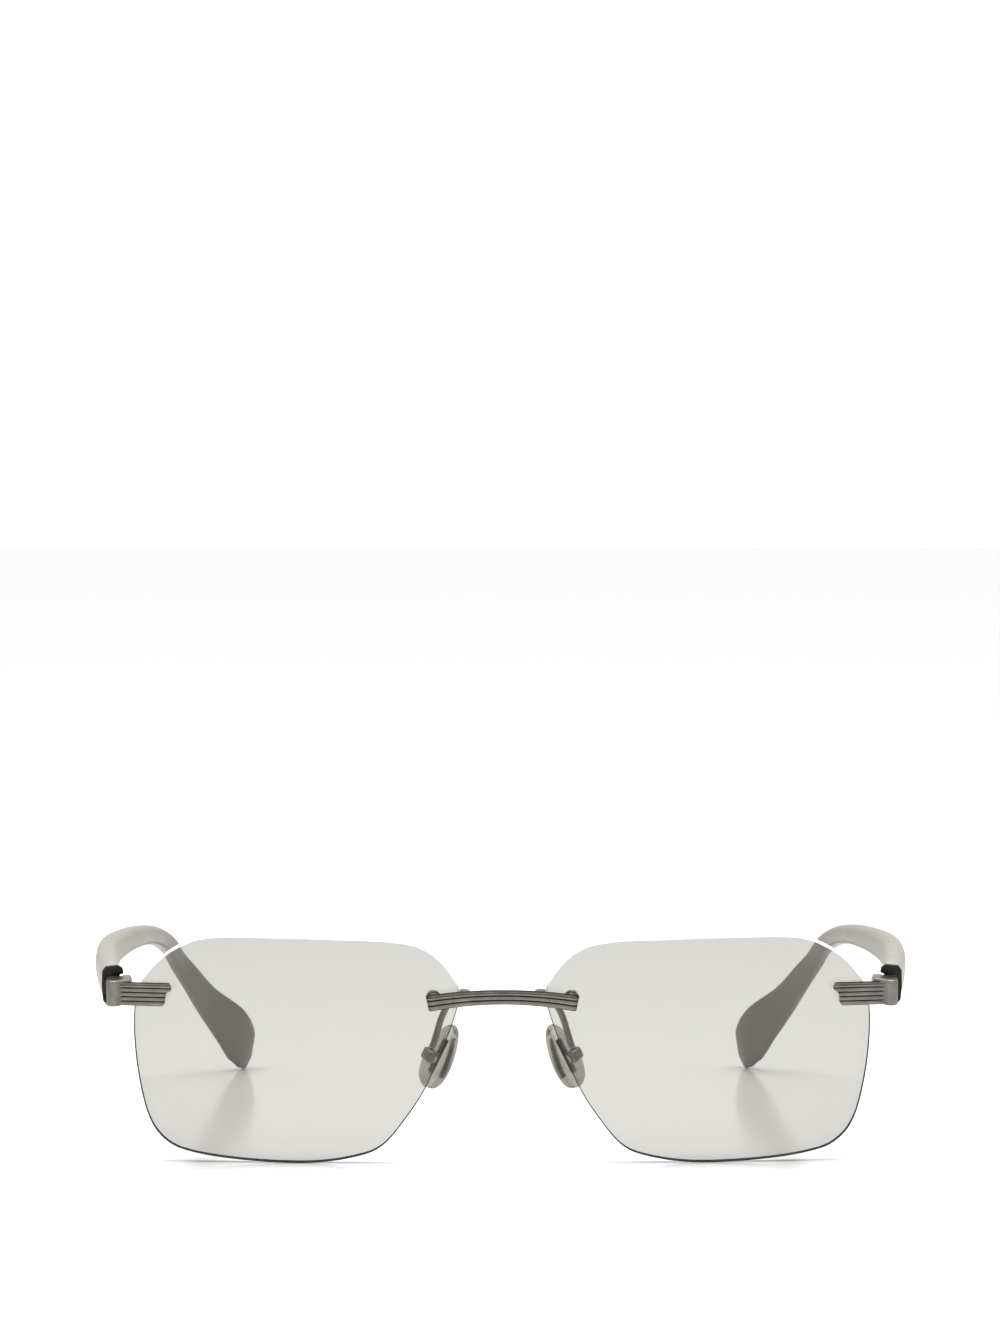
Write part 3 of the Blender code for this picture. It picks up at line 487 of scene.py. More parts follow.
def add_piece(name, mesh, matrix, body, materials, nodes=()):
    """A shown piece in its place, riding on a body and standing for its CAD nodes."""
    thing = bpy.data.objects.new(name, mesh)
    bpy.context.scene.collection.objects.link(thing)
    thing.matrix_world = matrix
    for material in materials[len(mesh.materials):]:
        mesh.materials.append(material)
    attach(thing, body)
    if nodes:
        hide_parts(*nodes)
    return thing


# ---------------------------------------------------------------- materials

EVEN = (1.0, 1.0, 1.0)                    # noise that is not stretched
BRUSH_DEPTH = 0.012 * MM
GRIND_DEPTH = 0.01 * MM
HAZE_DEPTH = 0.02 * MM
LENS_COLOUR = (0.10, 0.08, 0.01)          # what is missing from it is what the glass takes out
LENS_DENSITY = 332.0
LENS_SHADE = (0.50, 0.495, 0.48)          # what each face lets through into a shadow
# painted light on the lens's ground edge: dark for shade down the sides and below, white where the lamp
# falls along the top
EDGE_PAINTED_SHADE = (0.02, 0.02, 0.019)
EDGE_PAINTED_LIGHT = (1.0, 1.0, 0.99)
EDGE_LIGHT_TURNS = (7 * MM, 13 * MM)            # above the lens's centre, from painted shade to painted light
TEMPLE_REACH = (5 * MM, 125 * MM)         # back over which the temple's colour deepens
TEMPLE_SHADES = [                         # share of that way, colour
    (0.0, (0.30, 0.285, 0.235)), (0.25, (0.222, 0.202, 0.162)), (0.6, (0.19, 0.165, 0.132)),
    (1.0, (0.088, 0.074, 0.059))]


def principled(name, colour, roughness, values=None):
    """New material and its shader, with values set on the shader's named sockets."""
    material = bpy.data.materials.new(name)
    material.use_nodes = True
    shader = material.node_tree.nodes["Principled BSDF"]
    shader.inputs["Base Color"].default_value = (*colour, 1.0)
    shader.inputs["Roughness"].default_value = roughness
    for socket, value in (values or {}).items():
        shader.inputs[socket].default_value = value
    return material, shader


def node(material, kind, **values):
    """New node; each value goes to the node's own setting, or else to its input socket."""
    made = material.node_tree.nodes.new(kind)
    for key, value in values.items():
        if hasattr(made, key):
            setattr(made, key, value)
        else:
            made.inputs[key.replace("_", " ").title()].default_value = value
    return made


def link(material, source, target):
    material.node_tree.links.new(source, target)


def stretched_noise(material, stretch, scale, detail=4.0, distortion=0.0):
    """Noise over the piece's own coordinates, stretched per axis."""
    place = node(material, "ShaderNodeTexCoord")
    mapping = node(material, "ShaderNodeMapping")
    mapping.inputs["Scale"].default_value = stretch
    link(material, place.outputs["Object"], mapping.inputs["Vector"])
    noise = node(material, "ShaderNodeTexNoise", scale=scale, detail=detail, distortion=distortion)
    link(material, mapping.outputs["Vector"], noise.inputs["Vector"])
    return noise.outputs["Fac"]


def ramp(material, factor, low, high, start=0.3, end=0.7):
    """Colour running from low to high as factor goes from start to end."""
    made = node(material, "ShaderNodeValToRGB")
    made.color_ramp.elements[0].position = start
    made.color_ramp.elements[0].color = (*low, 1.0)
    made.color_ramp.elements[1].position = end
    made.color_ramp.elements[1].color = (*high, 1.0)
    link(material, factor, made.inputs["Fac"])
    return made.outputs["Color"]


def spread(material, factor, low, high):
    """Value running from low to high as factor goes from 0 to 1."""
    made = node(material, "ShaderNodeMapRange")
    made.inputs["To Min"].default_value = low
    made.inputs["To Max"].default_value = high
    link(material, factor, made.inputs["Value"])
    return made.outputs["Result"]


def bump(material, shader, height, strength, distance):
    made = node(material, "ShaderNodeBump")
    made.inputs["Strength"].default_value = strength
    made.inputs["Distance"].default_value = distance
    link(material, height, made.inputs["Height"])
    link(material, made.outputs["Normal"], shader.inputs["Normal"])


def metal(name, dark, light, roughness, stretch, edge=1.0):
    """Plated metal: cloudy tone, fine brushed grain along the stretched axis."""
    material, shader = principled(name, light, roughness, {"Metallic": 1.0})
    shader.inputs["Specular Tint"].default_value = (edge, edge, edge, 1.0)
    cloud = stretched_noise(material, EVEN, 420.0, 5.0, 0.4)
    link(material, ramp(material, cloud, dark, light), shader.inputs["Base Color"])
    streak = stretched_noise(material, stretch, 2600.0, 3.0)
    link(material, spread(material, streak, roughness - 0.07, roughness + 0.09),
         shader.inputs["Roughness"])
    bump(material, shader, streak, 0.35, BRUSH_DEPTH)
    return material


def lens_glass():
    """Tinted lens: clear faces, a tint that deepens with the length of glass looked through."""
    material, shader = principled("lens_tint", (1.0, 1.0, 1.0), 0.0,
                                  {"IOR": 1.5, "Transmission Weight": 1.0})
    smudge = stretched_noise(material, EVEN, 55.0, 3.0, 0.8)
    link(material, spread(material, smudge, 0.0, 0.012), shader.inputs["Roughness"])
    path = node(material, "ShaderNodeLightPath")
    clear = node(material, "ShaderNodeBsdfTransparent")
    clear.inputs["Color"].default_value = (*LENS_SHADE, 1.0)
    mixed = node(material, "ShaderNodeMixShader")
    link(material, path.outputs["Is Shadow Ray"], mixed.inputs["Fac"])
    link(material, shader.outputs["BSDF"], mixed.inputs[1])
    link(material, clear.outputs["BSDF"], mixed.inputs[2])
    output = material.node_tree.nodes["Material Output"]
    link(material, mixed.outputs["Shader"], output.inputs["Surface"])
    tint = node(material, "ShaderNodeVolumeAbsorption")
    tint.inputs["Color"].default_value = (*LENS_COLOUR, 1.0)
    tint.inputs["Density"].default_value = LENS_DENSITY
    link(material, tint.outputs["Volume"], output.inputs["Volume"])
    return material


def object_axis(material, axis, start, end):
    """Share of the way from start to end along one of the piece's own axes."""
    place = node(material, "ShaderNodeTexCoord")
    parts = node(material, "ShaderNodeSeparateXYZ")
    link(material, place.outputs["Object"], parts.inputs["Vector"])
    along = node(material, "ShaderNodeMapRange")
    along.inputs["From Min"].default_value = start
    along.inputs["From Max"].default_value = end
    link(material, parts.outputs[axis], along.inputs["Value"])
    return along.outputs["Result"]


def ground_edge():
    """The lens's frosted ground edge, with painted light: white along the top where the lamp falls, dark
    down the sides and below for shade.
    """
    material, shader = principled("lens_edge_painted_light", (0.9, 0.9, 0.88), 0.5,
                                  {"IOR": 1.5, "Specular IOR Level": 0.2})
    height = object_axis(material, "Z", *EDGE_LIGHT_TURNS)
    link(material, ramp(material, height, EDGE_PAINTED_SHADE, EDGE_PAINTED_LIGHT, 0.0, 1.0),
         shader.inputs["Base Color"])
    grind = stretched_noise(material, EVEN, 5200.0, 2.0)
    link(material, spread(material, grind, 0.36, 0.58), shader.inputs["Roughness"])
    bump(material, shader, grind, 0.3, GRIND_DEPTH)
    return material


def cellulose():
    """Milky grey-beige temple plastic, darker towards the tips: faint marbling, soft polish."""
    material, shader = principled("acetate", (0.25, 0.24, 0.21), 0.35, {"IOR": 1.48})
    shade = node(material, "ShaderNodeValToRGB")
    stops = shade.color_ramp.elements
    stops[0].color = (*TEMPLE_SHADES[0][1], 1.0)
    stops[1].position = TEMPLE_SHADES[-1][0]
    stops[1].color = (*TEMPLE_SHADES[-1][1], 1.0)
    for position, colour in TEMPLE_SHADES[1:-1]:
        stops.new(position).color = (*colour, 1.0)
    link(material, object_axis(material, "Y", *TEMPLE_REACH), shade.inputs["Fac"])
    marble = stretched_noise(material, (1.6, 0.35, 1.6), 130.0, 6.0, 1.3)
    mottle = node(material, "ShaderNodeMix", data_type="RGBA", blend_type="MULTIPLY")
    mottle.inputs[0].default_value = 1.0
    link(material, shade.outputs["Color"], mottle.inputs[6])
    link(material, ramp(material, marble, (0.86, 0.86, 0.85), (1.0, 1.0, 1.0)), mottle.inputs[7])
    link(material, mottle.outputs[2], shader.inputs["Base Color"])
    haze = stretched_noise(material, EVEN, 900.0)
    link(material, spread(material, haze, 0.28, 0.42), shader.inputs["Roughness"])
    bump(material, shader, haze, 0.15, HAZE_DEPTH)
    return material


def soft_silicone():
    """Clear pad silicone with a slight haze."""
    material, shader = principled("silicone", (0.44, 0.42, 0.375), 0.12,
                                  {"IOR": 1.41, "Transmission Weight": 0.85})
    haze = stretched_noise(material, EVEN, 700.0)
    link(material, spread(material, haze, 0.08, 0.24), shader.inputs["Roughness"])
    bump(material, shader, haze, 0.2, HAZE_DEPTH)
    return material


def clear_sleeve():
    """Clear plastic of the sleeves in the lens holes."""
    material, shader = principled("clear_plastic", (0.9, 0.9, 0.88), 0.15,
                                  {"IOR": 1.49, "Transmission Weight": 0.7})
    haze = stretched_noise(material, EVEN, 1500.0, 3.0)
    link(material, spread(material, haze, 0.1, 0.3), shader.inputs["Roughness"])
    return material


ALONG_X = (0.12, 1.0, 1.0)                # grain that runs across the front
ALONG_Z = (1.0, 1.0, 0.12)                # grain that runs upwards
PEWTER = metal("pewter", (0.150, 0.138, 0.121), (0.205, 0.190, 0.168), 0.34, ALONG_X)
# darker pewter: tarnish in the reed valleys, and painted shade along a bar's top edge, back and
# underside
TARNISH_AND_SHADE = metal("tarnish_and_shade", (0.050, 0.044, 0.038), (0.085, 0.077, 0.066), 0.5, ALONG_X, 0.2)
DARK_METAL = metal("dark_metal", (0.014, 0.013, 0.011), (0.034, 0.032, 0.028), 0.36, ALONG_Z)
STEEL = metal("steel", (0.34, 0.335, 0.32), (0.46, 0.455, 0.44), 0.24, EVEN)
LENS_TINT = lens_glass()
LENS_EDGE = ground_edge()
ACETATE = cellulose()
SILICONE = soft_silicone()
CLEAR_PLASTIC = clear_sleeve()


# ---------------------------------------------------------------- lenses and their fasteners

def sag(radius, distance):
    return radius - math.sqrt(radius * radius - distance * distance)


def lens_solid(side):
    """Meniscus with a ground edge, about the lens's own centre; edge faces take material 1."""
    flat = smooth_path([(x, y, 0.0) for x, y in LENS_OUTLINE], OUTLINE_STEPS, closed=True)
    outline = [Vector((side * (point.x * MM - LENS_CENTRE[0]), 0.0, point.y * MM - LENS_CENTRE[1]))
               for point in flat]
    back_radius = LENS_RADIUS - LENS_THICKNESS

    def on_front(point):
        return Vector((point.x, sag(LENS_RADIUS, point.length), point.z))

    def on_back(point):
        return Vector((point.x, LENS_THICKNESS + sag(back_radius, point.length), point.z))

    def inset(point, amount):
        return point * (1.0 - amount / point.length)

    inner = [inset(point, LENS_EDGE_BEVEL) for point in outline]
    shares = [(ring + 1) / LENS_RINGS for ring in range(LENS_RINGS)]
    rings = [[on_front(point * share) for point in inner] for share in shares]
    edge_from = len(rings) - 1
    rounding = []
    for angle in EDGE_ANGLES:
        turn = math.radians(angle)
        rounding.append((LENS_EDGE_BEVEL * (1.0 - math.sin(turn)),
                         Vector((0.0, LENS_EDGE_BEVEL * (1.0 - math.cos(turn)), 0.0))))
    for amount, depth in rounding:
        rings.append([on_front(inset(point, amount)) + depth for point in outline])
    for amount, depth in reversed(rounding):
        rings.append([on_back(inset(point, amount)) - depth for point in outline])
    edge_to = len(rings)
    rings += [[on_back(point * share) for point in inner] for share in reversed(shares)]

    bm = bmesh.new()
    rows = [[bm.verts.new(point) for point in ring] for ring in rings]
    for row, (near, far) in enumerate(zip(rows, rows[1:])):
        for index in range(len(near)):
            after = (index + 1) % len(near)
            face = bm.faces.new((near[index], near[after], far[after], far[index]))
            face.material_index = 1 if edge_from <= row < edge_to else 0
    for row, height in ((rows[0], 0.0), (rows[-1], LENS_THICKNESS)):
        middle = bm.verts.new((0.0, height, 0.0))
        for index in range(len(row)):
            bm.faces.new((row[index], row[(index + 1) % len(row)], middle))
    return bm


def make_lens(label, side):
    centre = (Matrix.Translation((side * LENS_CENTRE[0], 0.0, LENS_CENTRE[1]))
              @ Matrix.Rotation(side * LENS_WRAP, 4, "Z"))
    holes = [transformed(rod(LENS_HOLE_RADIUS, -CUT_PAST, 2 * CUT_PAST),
                         centre.inverted() @ mount_matrix(place, side) @ BACKWARD)
             for place in MOUNT_PLACE]
    mesh = fused("lens_" + label + "_mesh", lens_solid(side), cut=holes, sharp=SHARP_LENS,
                 materials=[LENS_TINT, LENS_EDGE])
    add_piece("lens_clear_" + label, mesh, FRONT @ centre, "front",
              [LENS_TINT, LENS_EDGE], ["lens_" + label])


def nut_solid(radius, height, bore):
    """Hexagon nut with turned-down corners on its outer face."""
    hexagon = [(radius * math.cos(math.pi * i / 3), radius * math.sin(math.pi * i / 3))
               for i in range(6)]
    flat = radius * math.cos(math.pi / 6)
    crown_width, crown_start = NUT_CROWN
    crown = turned([(0.0, height), (flat - crown_width, height),
                    (radius + GAP, height * crown_start), (radius + GAP, 0.0), (0.0, 0.0)], ROUND)
    return fused("nut", bevel_sharp(prism(hexagon, 0.0, height), NUT_BEVEL, 2),
                 cut=[rod(bore, -CUT_PAST, CUT_PAST)], kept=[crown], sharp=SHARP_NUT)


def make_fasteners(place, label, side):
    name = place + "_" + label
    matrix = FRONT @ mount_matrix(place, side) @ BACKWARD
    start = LENS_THICKNESS + GAP
    end = start + BUSHING_FLANGE
    outer = LENS_HOLE_RADIUS - GAP
    inner = STUD_RADIUS + GAP
    sleeve = [(inner, GAP), (outer, GAP), (outer, start), (BUSHING_FLANGE_RADIUS, start),
              (BUSHING_FLANGE_RADIUS, end - RIM_CHAMFER),
              (BUSHING_FLANGE_RADIUS - RIM_CHAMFER, end), (inner, end)]
    add_piece("lens_sleeve_" + name, mesh_from("sleeve", turned(sleeve)), matrix, "front",
              [CLEAR_PLASTIC], ["lens_bushing_" + name])
    low = end + GAP
    high = low + WASHER_THICKNESS
    ring = [(inner, low), (WASHER_RADIUS - RIM_CHAMFER, low), (WASHER_RADIUS, low + RIM_CHAMFER),
            (WASHER_RADIUS, high - RIM_CHAMFER), (WASHER_RADIUS - RIM_CHAMFER, high),
            (inner, high)]
    add_piece("lens_ring_" + name, mesh_from("ring", turned(ring)), matrix, "front",
              [STEEL], ["lens_washer_" + name])
    add_piece("hex_nut_" + name, nut_solid(NUT_RADIUS, NUT_HEIGHT, inner),
              matrix @ Matrix.Translation((0.0, 0.0, high + GAP)), "front", [PEWTER],
              ["lens_nut_" + name])


def stud_solid(reach):
    """Threaded stud with its shoulder, along z."""
    profile = [(0.0, -reach), (BOSS_RADIUS, -reach),
               (BOSS_RADIUS, -GAP - STUD_SHOULDER_CHAMFER),
               (BOSS_RADIUS - STUD_SHOULDER_CHAMFER, -GAP), (STUD_RADIUS, -GAP),
               (STUD_RADIUS, LENS_THICKNESS)]
    level = LENS_THICKNESS
    while level + THREAD_PITCH < STUD_END - THREAD_RUN_OUT:
        profile += [(STUD_RADIUS - THREAD_DEPTH, level + THREAD_PITCH / 2),
                    (STUD_RADIUS, level + THREAD_PITCH)]
        level += THREAD_PITCH
    profile += [(STUD_RADIUS - STUD_TIP_CHAMFER, STUD_END), (0.0, STUD_END)]
    return turned(profile, STUD_ROUND)


def make_stud(place, label, side, reach):
    matrix = FRONT @ mount_matrix(place, side) @ BACKWARD
    add_piece("threaded_stud_" + place + "_" + label, mesh_from("stud", stud_solid(reach)), matrix,
              "front", [PEWTER])


# ---------------------------------------------------------------- reeded bars

def reeded_section(height, thickness, reeds, set_back=0.0):
    """(forward, up) points of a bar with rounded reeds along its front."""
    half = thickness / 2
    steps = reeds * REED_STEPS
    points = []
    for step in range(steps + 1):
        along = step / steps
        valley = 1.0 - abs(math.sin(math.pi * reeds * along)) ** REED_FULLNESS
        points.append((half - set_back - REED_DEPTH * valley, (along - 0.5) * height))
    for corner, start in ((1, 90.0), (-1, 180.0)):
        for step in range(CORNER_STEPS):
            turn = math.radians(start + step * 90.0 / (CORNER_STEPS - 1))
            points.append((-half + BAR_CORNER + BAR_CORNER * math.cos(turn),
                           corner * (height / 2 - BAR_CORNER) + BAR_CORNER * math.sin(turn)))
    return points


def tarnish_and_shade_columns(reeds, recess):
    """Columns of a reeded bar's skin that take the darker metal: tarnish in the valleys, painted shade
    along the top, back and underside.
    """
    columns = set()
    for valley in range(reeds + 1):
        middle = valley * REED_STEPS
        above = TOP_STEPS if valley == reeds else recess
        columns.update(range(max(0, middle - above),
                             min(reeds * REED_STEPS, middle + recess)))
    return columns | set(range(reeds * REED_STEPS, reeds * REED_STEPS + BACK_COLUMNS))


def bar_ring(centre, across, section):
    up = Vector((0.0, 0.0, 1.0))
    up = (up - across * up.dot(across)).normalized()
    forward = across.cross(up).normalized()
    if forward.y > 0:
        forward = -forward
    return [centre + forward * ahead + up * rise for ahead, rise in section]


def bridge_centre(share):
    across, up = MOUNT_PLACE["nasal"]
    back = lens_face(across, up)[0].y - BRIDGE_STAND_OFF
    at_mount = (across / BRIDGE_HALF) ** 2
    return Vector((share * BRIDGE_HALF,
                   back - BRIDGE_BOW * (at_mount - share * share),
                   BRIDGE_MID_HEIGHT - BRIDGE_ARCH * share * share))


def make_bridge():
    bevel_share = END_BEVEL / BRIDGE_HALF
    rounding = [1.0 - bevel_share * (1.0 - math.cos(math.radians(angle)))
                for angle in range(0, 91, 15)]
    middle = [bevel_share - 1.0 + 2 * (1.0 - bevel_share) * step / BRIDGE_RINGS
              for step in range(1, BRIDGE_RINGS)]
    shares = [-share for share in rounding] + middle + rounding[::-1]
    rings = []
    for share in shares:
        run = bridge_centre(share + SLOPE_STEP) - bridge_centre(share - SLOPE_STEP)
        height = BRIDGE_DEEP_MIDDLE + (BRIDGE_DEEP_END - BRIDGE_DEEP_MIDDLE) * share * share
        past = max(0.0, (abs(share) - 1.0 + bevel_share) / bevel_share)
        set_back = END_SET_BACK * (1.0 - math.sqrt(max(0.0, 1.0 - past * past)))
        section = reeded_section(height, BRIDGE_THICKNESS, BRIDGE_REEDS, set_back)
        rings.append(bar_ring(bridge_centre(share), run.normalized(), section))
    skin = loft(rings, tarnish_and_shade_columns(BRIDGE_REEDS, BRIDGE_RECESS))
    add_piece("bridge_bar", mesh_from("bridge_bar", skin), FRONT, "front",
              [PEWTER, TARNISH_AND_SHADE], ["bridge"])
    for label, side in SIDES.items():
        make_stud("nasal", label, side, BRIDGE_STAND_OFF)


# ---------------------------------------------------------------- end pieces and hinges

def arm_centre(across, side):
    mount, inward = lens_face(*MOUNT_PLACE["temporal"])
    start = mount - inward * ARM_STAND_OFF
    back = start.y + (across - start.x) * math.tan(ARM_TURN)
    return Vector((side * across, back, ARM_MIDDLE))


def facing_prism(outline, near, far, side):
    """Front-view outline in millimetres, raised through the front frame's y axis."""
    flat = [(side * x * MM, y * MM) for x, y in outline]
    return transformed(prism(flat, -far, -near), FORWARD)


def upright_prism(outline, bottom, top, side):
    return prism([(side * x * MM, y * MM) for x, y in outline], bottom, top)


def knuckle_solids(low, high, side, web):
    axis = Matrix.Translation((side * HINGE_PLACE[0], HINGE_PLACE[1], 0.0))
    (x0, y0), (x1, y1) = web
    left, right = sorted((side * x0, side * x1))
    return [transformed(rod(KNUCKLE_RADIUS, low, high, KNUCKLE_CHAMFER), axis),
            box((left, y0, low + GAP), (right, y1, high - GAP))]


def hinge_bore(side):
    axis = Matrix.Translation((side * HINGE_PLACE[0], HINGE_PLACE[1], 0.0))
    return transformed(rod(HINGE_BORE, KNUCKLE_LEVELS[0] - CUT_PAST, KNUCKLE_LEVELS[3] + CUT_PAST), axis)


def make_end_piece(label, side):
    run = (arm_centre(ARM_END, side) - arm_centre(ARM_START, side)).normalized()
    section = reeded_section(ARM_HEIGHT, ARM_THICKNESS, ARM_REEDS)
    rings = [bar_ring(arm_centre(ARM_START + (ARM_END - ARM_START) * step / ARM_RINGS, side), run,
                      section) for step in range(ARM_RINGS + 1)]
    block = bevel_sharp(upright_prism(BLOCK_OUTLINE, BLOCK_BOTTOM, BLOCK_TOP, side), BLOCK_BEVEL, 4)
    web = ((END_WEB[0], BLOCK_REAR - WEB_BITE), (END_WEB[1], BLOCK_REAR - WEB_BITE + WEB_DEPTH))
    joined = [block]
    for low, high in ((KNUCKLE_LEVELS[0], KNUCKLE_LEVELS[1] - KNUCKLE_CLEARANCE),
                      (KNUCKLE_LEVELS[2] + KNUCKLE_CLEARANCE, KNUCKLE_LEVELS[3])):
        joined += knuckle_solids(low, high, side, web)
    arm = fused("arm", loft(rings, tarnish_and_shade_columns(ARM_REEDS, ARM_RECESS)),
                cut=[facing_prism(ARM_STEP_OUTLINE, 0.0, ARM_CUT_DEPTH, side)],
                materials=[PEWTER, TARNISH_AND_SHADE])
    solid = bmesh.new()
    solid.from_mesh(arm)
    mesh = fused("end_piece_" + label + "_mesh", solid, joined=joined, cut=[hinge_bore(side)],
                 sharp=SHARP_JOINED, materials=[PEWTER, TARNISH_AND_SHADE])
    add_piece("reeded_arm_" + label, mesh, FRONT, "front", [PEWTER, TARNISH_AND_SHADE],
              ["end_piece_" + label])
    make_stud("temporal", label, side, ARM_STAND_OFF)


def make_hinge_screw(label, side):
    base = KNUCKLE_LEVELS[3] + GAP
    top = base + HINGE_SCREW_HEAD_HEIGHT
    tail = KNUCKLE_LEVELS[0] - HINGE_SCREW_TAIL
    dome = [(HINGE_SCREW_HEAD * math.cos(math.radians(angle)),
             top - HINGE_SCREW_DOME + HINGE_SCREW_DOME * math.sin(math.radians(angle)))
            for angle in range(0, 81, 20)]
    profile = ([(0.0, tail), (HINGE_SCREW_RADIUS - SCREW_CHAMFER, tail),
                (HINGE_SCREW_RADIUS, tail + SCREW_CHAMFER), (HINGE_SCREW_RADIUS, base),
                (HINGE_SCREW_HEAD, base)] + dome + [(0.0, top)])
    width, depth = SCREW_SLOT
    slot = box((-CUT_PAST, -width / 2, top - depth), (CUT_PAST, width / 2, top + depth))
    mesh = fused("hinge_screw_" + label + "_mesh", turned(profile), cut=[slot])
    axis = Matrix.Translation((side * HINGE_PLACE[0], HINGE_PLACE[1], 0.0))
    add_piece("slotted_screw_" + label, mesh, FRONT @ axis, "front", [STEEL],
              ["hinge_screw_" + label])


# ---------------------------------------------------------------- temples

def temple_path(side):
    """Centres, and (thickness, height, twist), along one temple in the table frame."""
    across, up = TEMPLE_START
    behind_cap = CAP_FRONT + CAP_THICKNESS + GAP
    start = FRONT.to_3x3() @ Vector((side * across * MM, behind_cap, up * MM))
    rest = [(side * x * MM, y * MM, z * MM) for x, y, z, *_ in TEMPLE_STATIONS]
    shapes = [(*TEMPLE_START_SIZE, 0.0)] + [station[3:] for station in TEMPLE_STATIONS]
    shapes = smooth_path([(thick * MM, height * MM, side * math.radians(twist))
                          for thick, height, twist in shapes], TEMPLE_STEPS)
    return smooth_path([start] + rest, TEMPLE_STEPS), shapes


def temple_ring(centre, run, shape):
    thickness, height, twist = shape
    turn = Matrix.Rotation(-twist, 3, run)
    level = run.cross(Vector((0.0, 0.0, 1.0))).normalized()
    rise = turn @ level.cross(run).normalized()
    level = turn @ level
    power = 2.0 / TEMPLE_SQUARENESS
    ring = []
    for index in range(TEMPLE_ROUND):
        angle = 2 * math.pi * index / TEMPLE_ROUND
        cosine, sine = math.cos(angle), math.sin(angle)
        ring.append(centre + level * math.copysign(abs(cosine) ** power, cosine) * thickness / 2
                    + rise * math.copysign(abs(sine) ** power, sine) * height / 2)
    return ring


def make_temple(label, side):
    centres, shapes = temple_path(side)
    last = len(centres) - 1
    rings = []
    for index, centre in enumerate(centres):
        run = (centres[min(index + 1, last)] - centres[max(index - 1, 0)]).normalized()
        if index == 0:
            run = FRONT.to_3x3() @ Vector((0.0, 1.0, 0.0))
            thickness, height, twist = shapes[0]
            for inset, shift in TEMPLE_FRONT_RINGS:
                rings.append(temple_ring(centre + run * shift, run,
                                         (thickness - inset, height - inset, twist)))
            centre = centre + run * TEMPLE_FRONT_DEPTH
        rings.append(temple_ring(centre, run, shapes[index]))
    end_run = (centres[last] - centres[last - 1]).normalized()
    thickness, height, twist = shapes[last]
    for share, shift in TEMPLE_TIP_RINGS:
        rings.append(temple_ring(centres[last] + end_run * shift, end_run,
                                 (thickness * share, height * share, twist)))
    add_piece("temple_arm_" + label, mesh_from("temple_arm", loft(rings), SHARP_MOULDED), TABLE,
              "temple_" + label, [ACETATE], ["temple_" + label])
    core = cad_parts["temple_core_" + label]
    core.data.materials.clear()
    core.data.materials.append(STEEL)


def make_temple_cap(label, side):
    plate = bevel_sharp(facing_prism(CAP_OUTLINE, CAP_FRONT, CAP_FRONT + CAP_THICKNESS, side),
                        CAP_BEVEL)
    web = ((CAP_WEB[0], CAP_FRONT + 2 * GAP), (CAP_WEB[1], CAP_FRONT + CAP_THICKNESS - 2 * GAP))
    low = KNUCKLE_LEVELS[1] + KNUCKLE_CLEARANCE
    high = KNUCKLE_LEVELS[2] - KNUCKLE_CLEARANCE
    mesh = fused("temple_cap_" + label + "_mesh", plate,
                 joined=knuckle_solids(low, high, side, web), cut=[hinge_bore(side)],
                 sharp=SHARP_JOINED)
    add_piece("end_cap_" + label, mesh, FRONT, "temple_" + label, [DARK_METAL],
              ["temple_cap_" + label])


# ---------------------------------------------------------------- nose pads

def pad_bore():
    return transformed(rod(PAD_SCREW_RADIUS + GAP, -CUT_PAST, CUT_PAST, segments=SMALL_ROUND),
                       SIDEWAYS)


def make_nose_pad(label, side):
    body = "nose_pad_" + label
    matrix = FRONT @ pad_matrix(side)
    outline_fullness, side_fullness = PAD_FULLNESS
    rings = []
    for step in range(PAD_RINGS + 1):
        share = -math.cos(math.pi * (step + PAD_END_GAP) / (PAD_RINGS + 2 * PAD_END_GAP))
        round_off = math.sqrt(1.0 - share * share)
        width = PAD_WIDTH * (1.0 - PAD_TAPER * share) * round_off ** outline_fullness
        thickness = PAD_THICKNESS * round_off ** side_fullness
        middle = Vector((0.0, PAD_OFFSET, PAD_RISE + share * PAD_LENGTH / 2))
        rings.append([middle + Vector((width / 2 * math.cos(2 * math.pi * i / ROUND),
                                       thickness / 2 * math.sin(2 * math.pi * i / ROUND), 0.0))
                      for i in range(ROUND)])
    add_piece("silicone_pad_" + label, mesh_from("silicone_pad", loft(rings), SHARP_MOULDED),
              matrix, body, [SILICONE], ["nose_pad_" + label])

    wide, thick, long = PAD_PLATE
    plate = bevel_sharp(box((-wide / 2, PAD_OFFSET - thick / 2, PAD_RISE - long / 2),
                            (wide / 2, PAD_OFFSET + thick / 2, PAD_RISE + long / 2)),
                        PAD_PLATE_BEVEL)
    stem_wide, stem_tall = PAD_STEM
    stem = bevel_sharp(box((-stem_wide / 2, -PAD_STEM_REAR, -stem_tall / 2),
                           (stem_wide / 2, PAD_OFFSET - 2 * GAP, stem_tall / 2)), PAD_STEM_BEVEL)
    mesh = fused("pad_core_" + label + "_mesh", plate, joined=[stem], cut=[pad_bore()])
    add_piece("pad_plate_" + label, mesh, matrix, body, [DARK_METAL],
              ["pad_core_" + label])


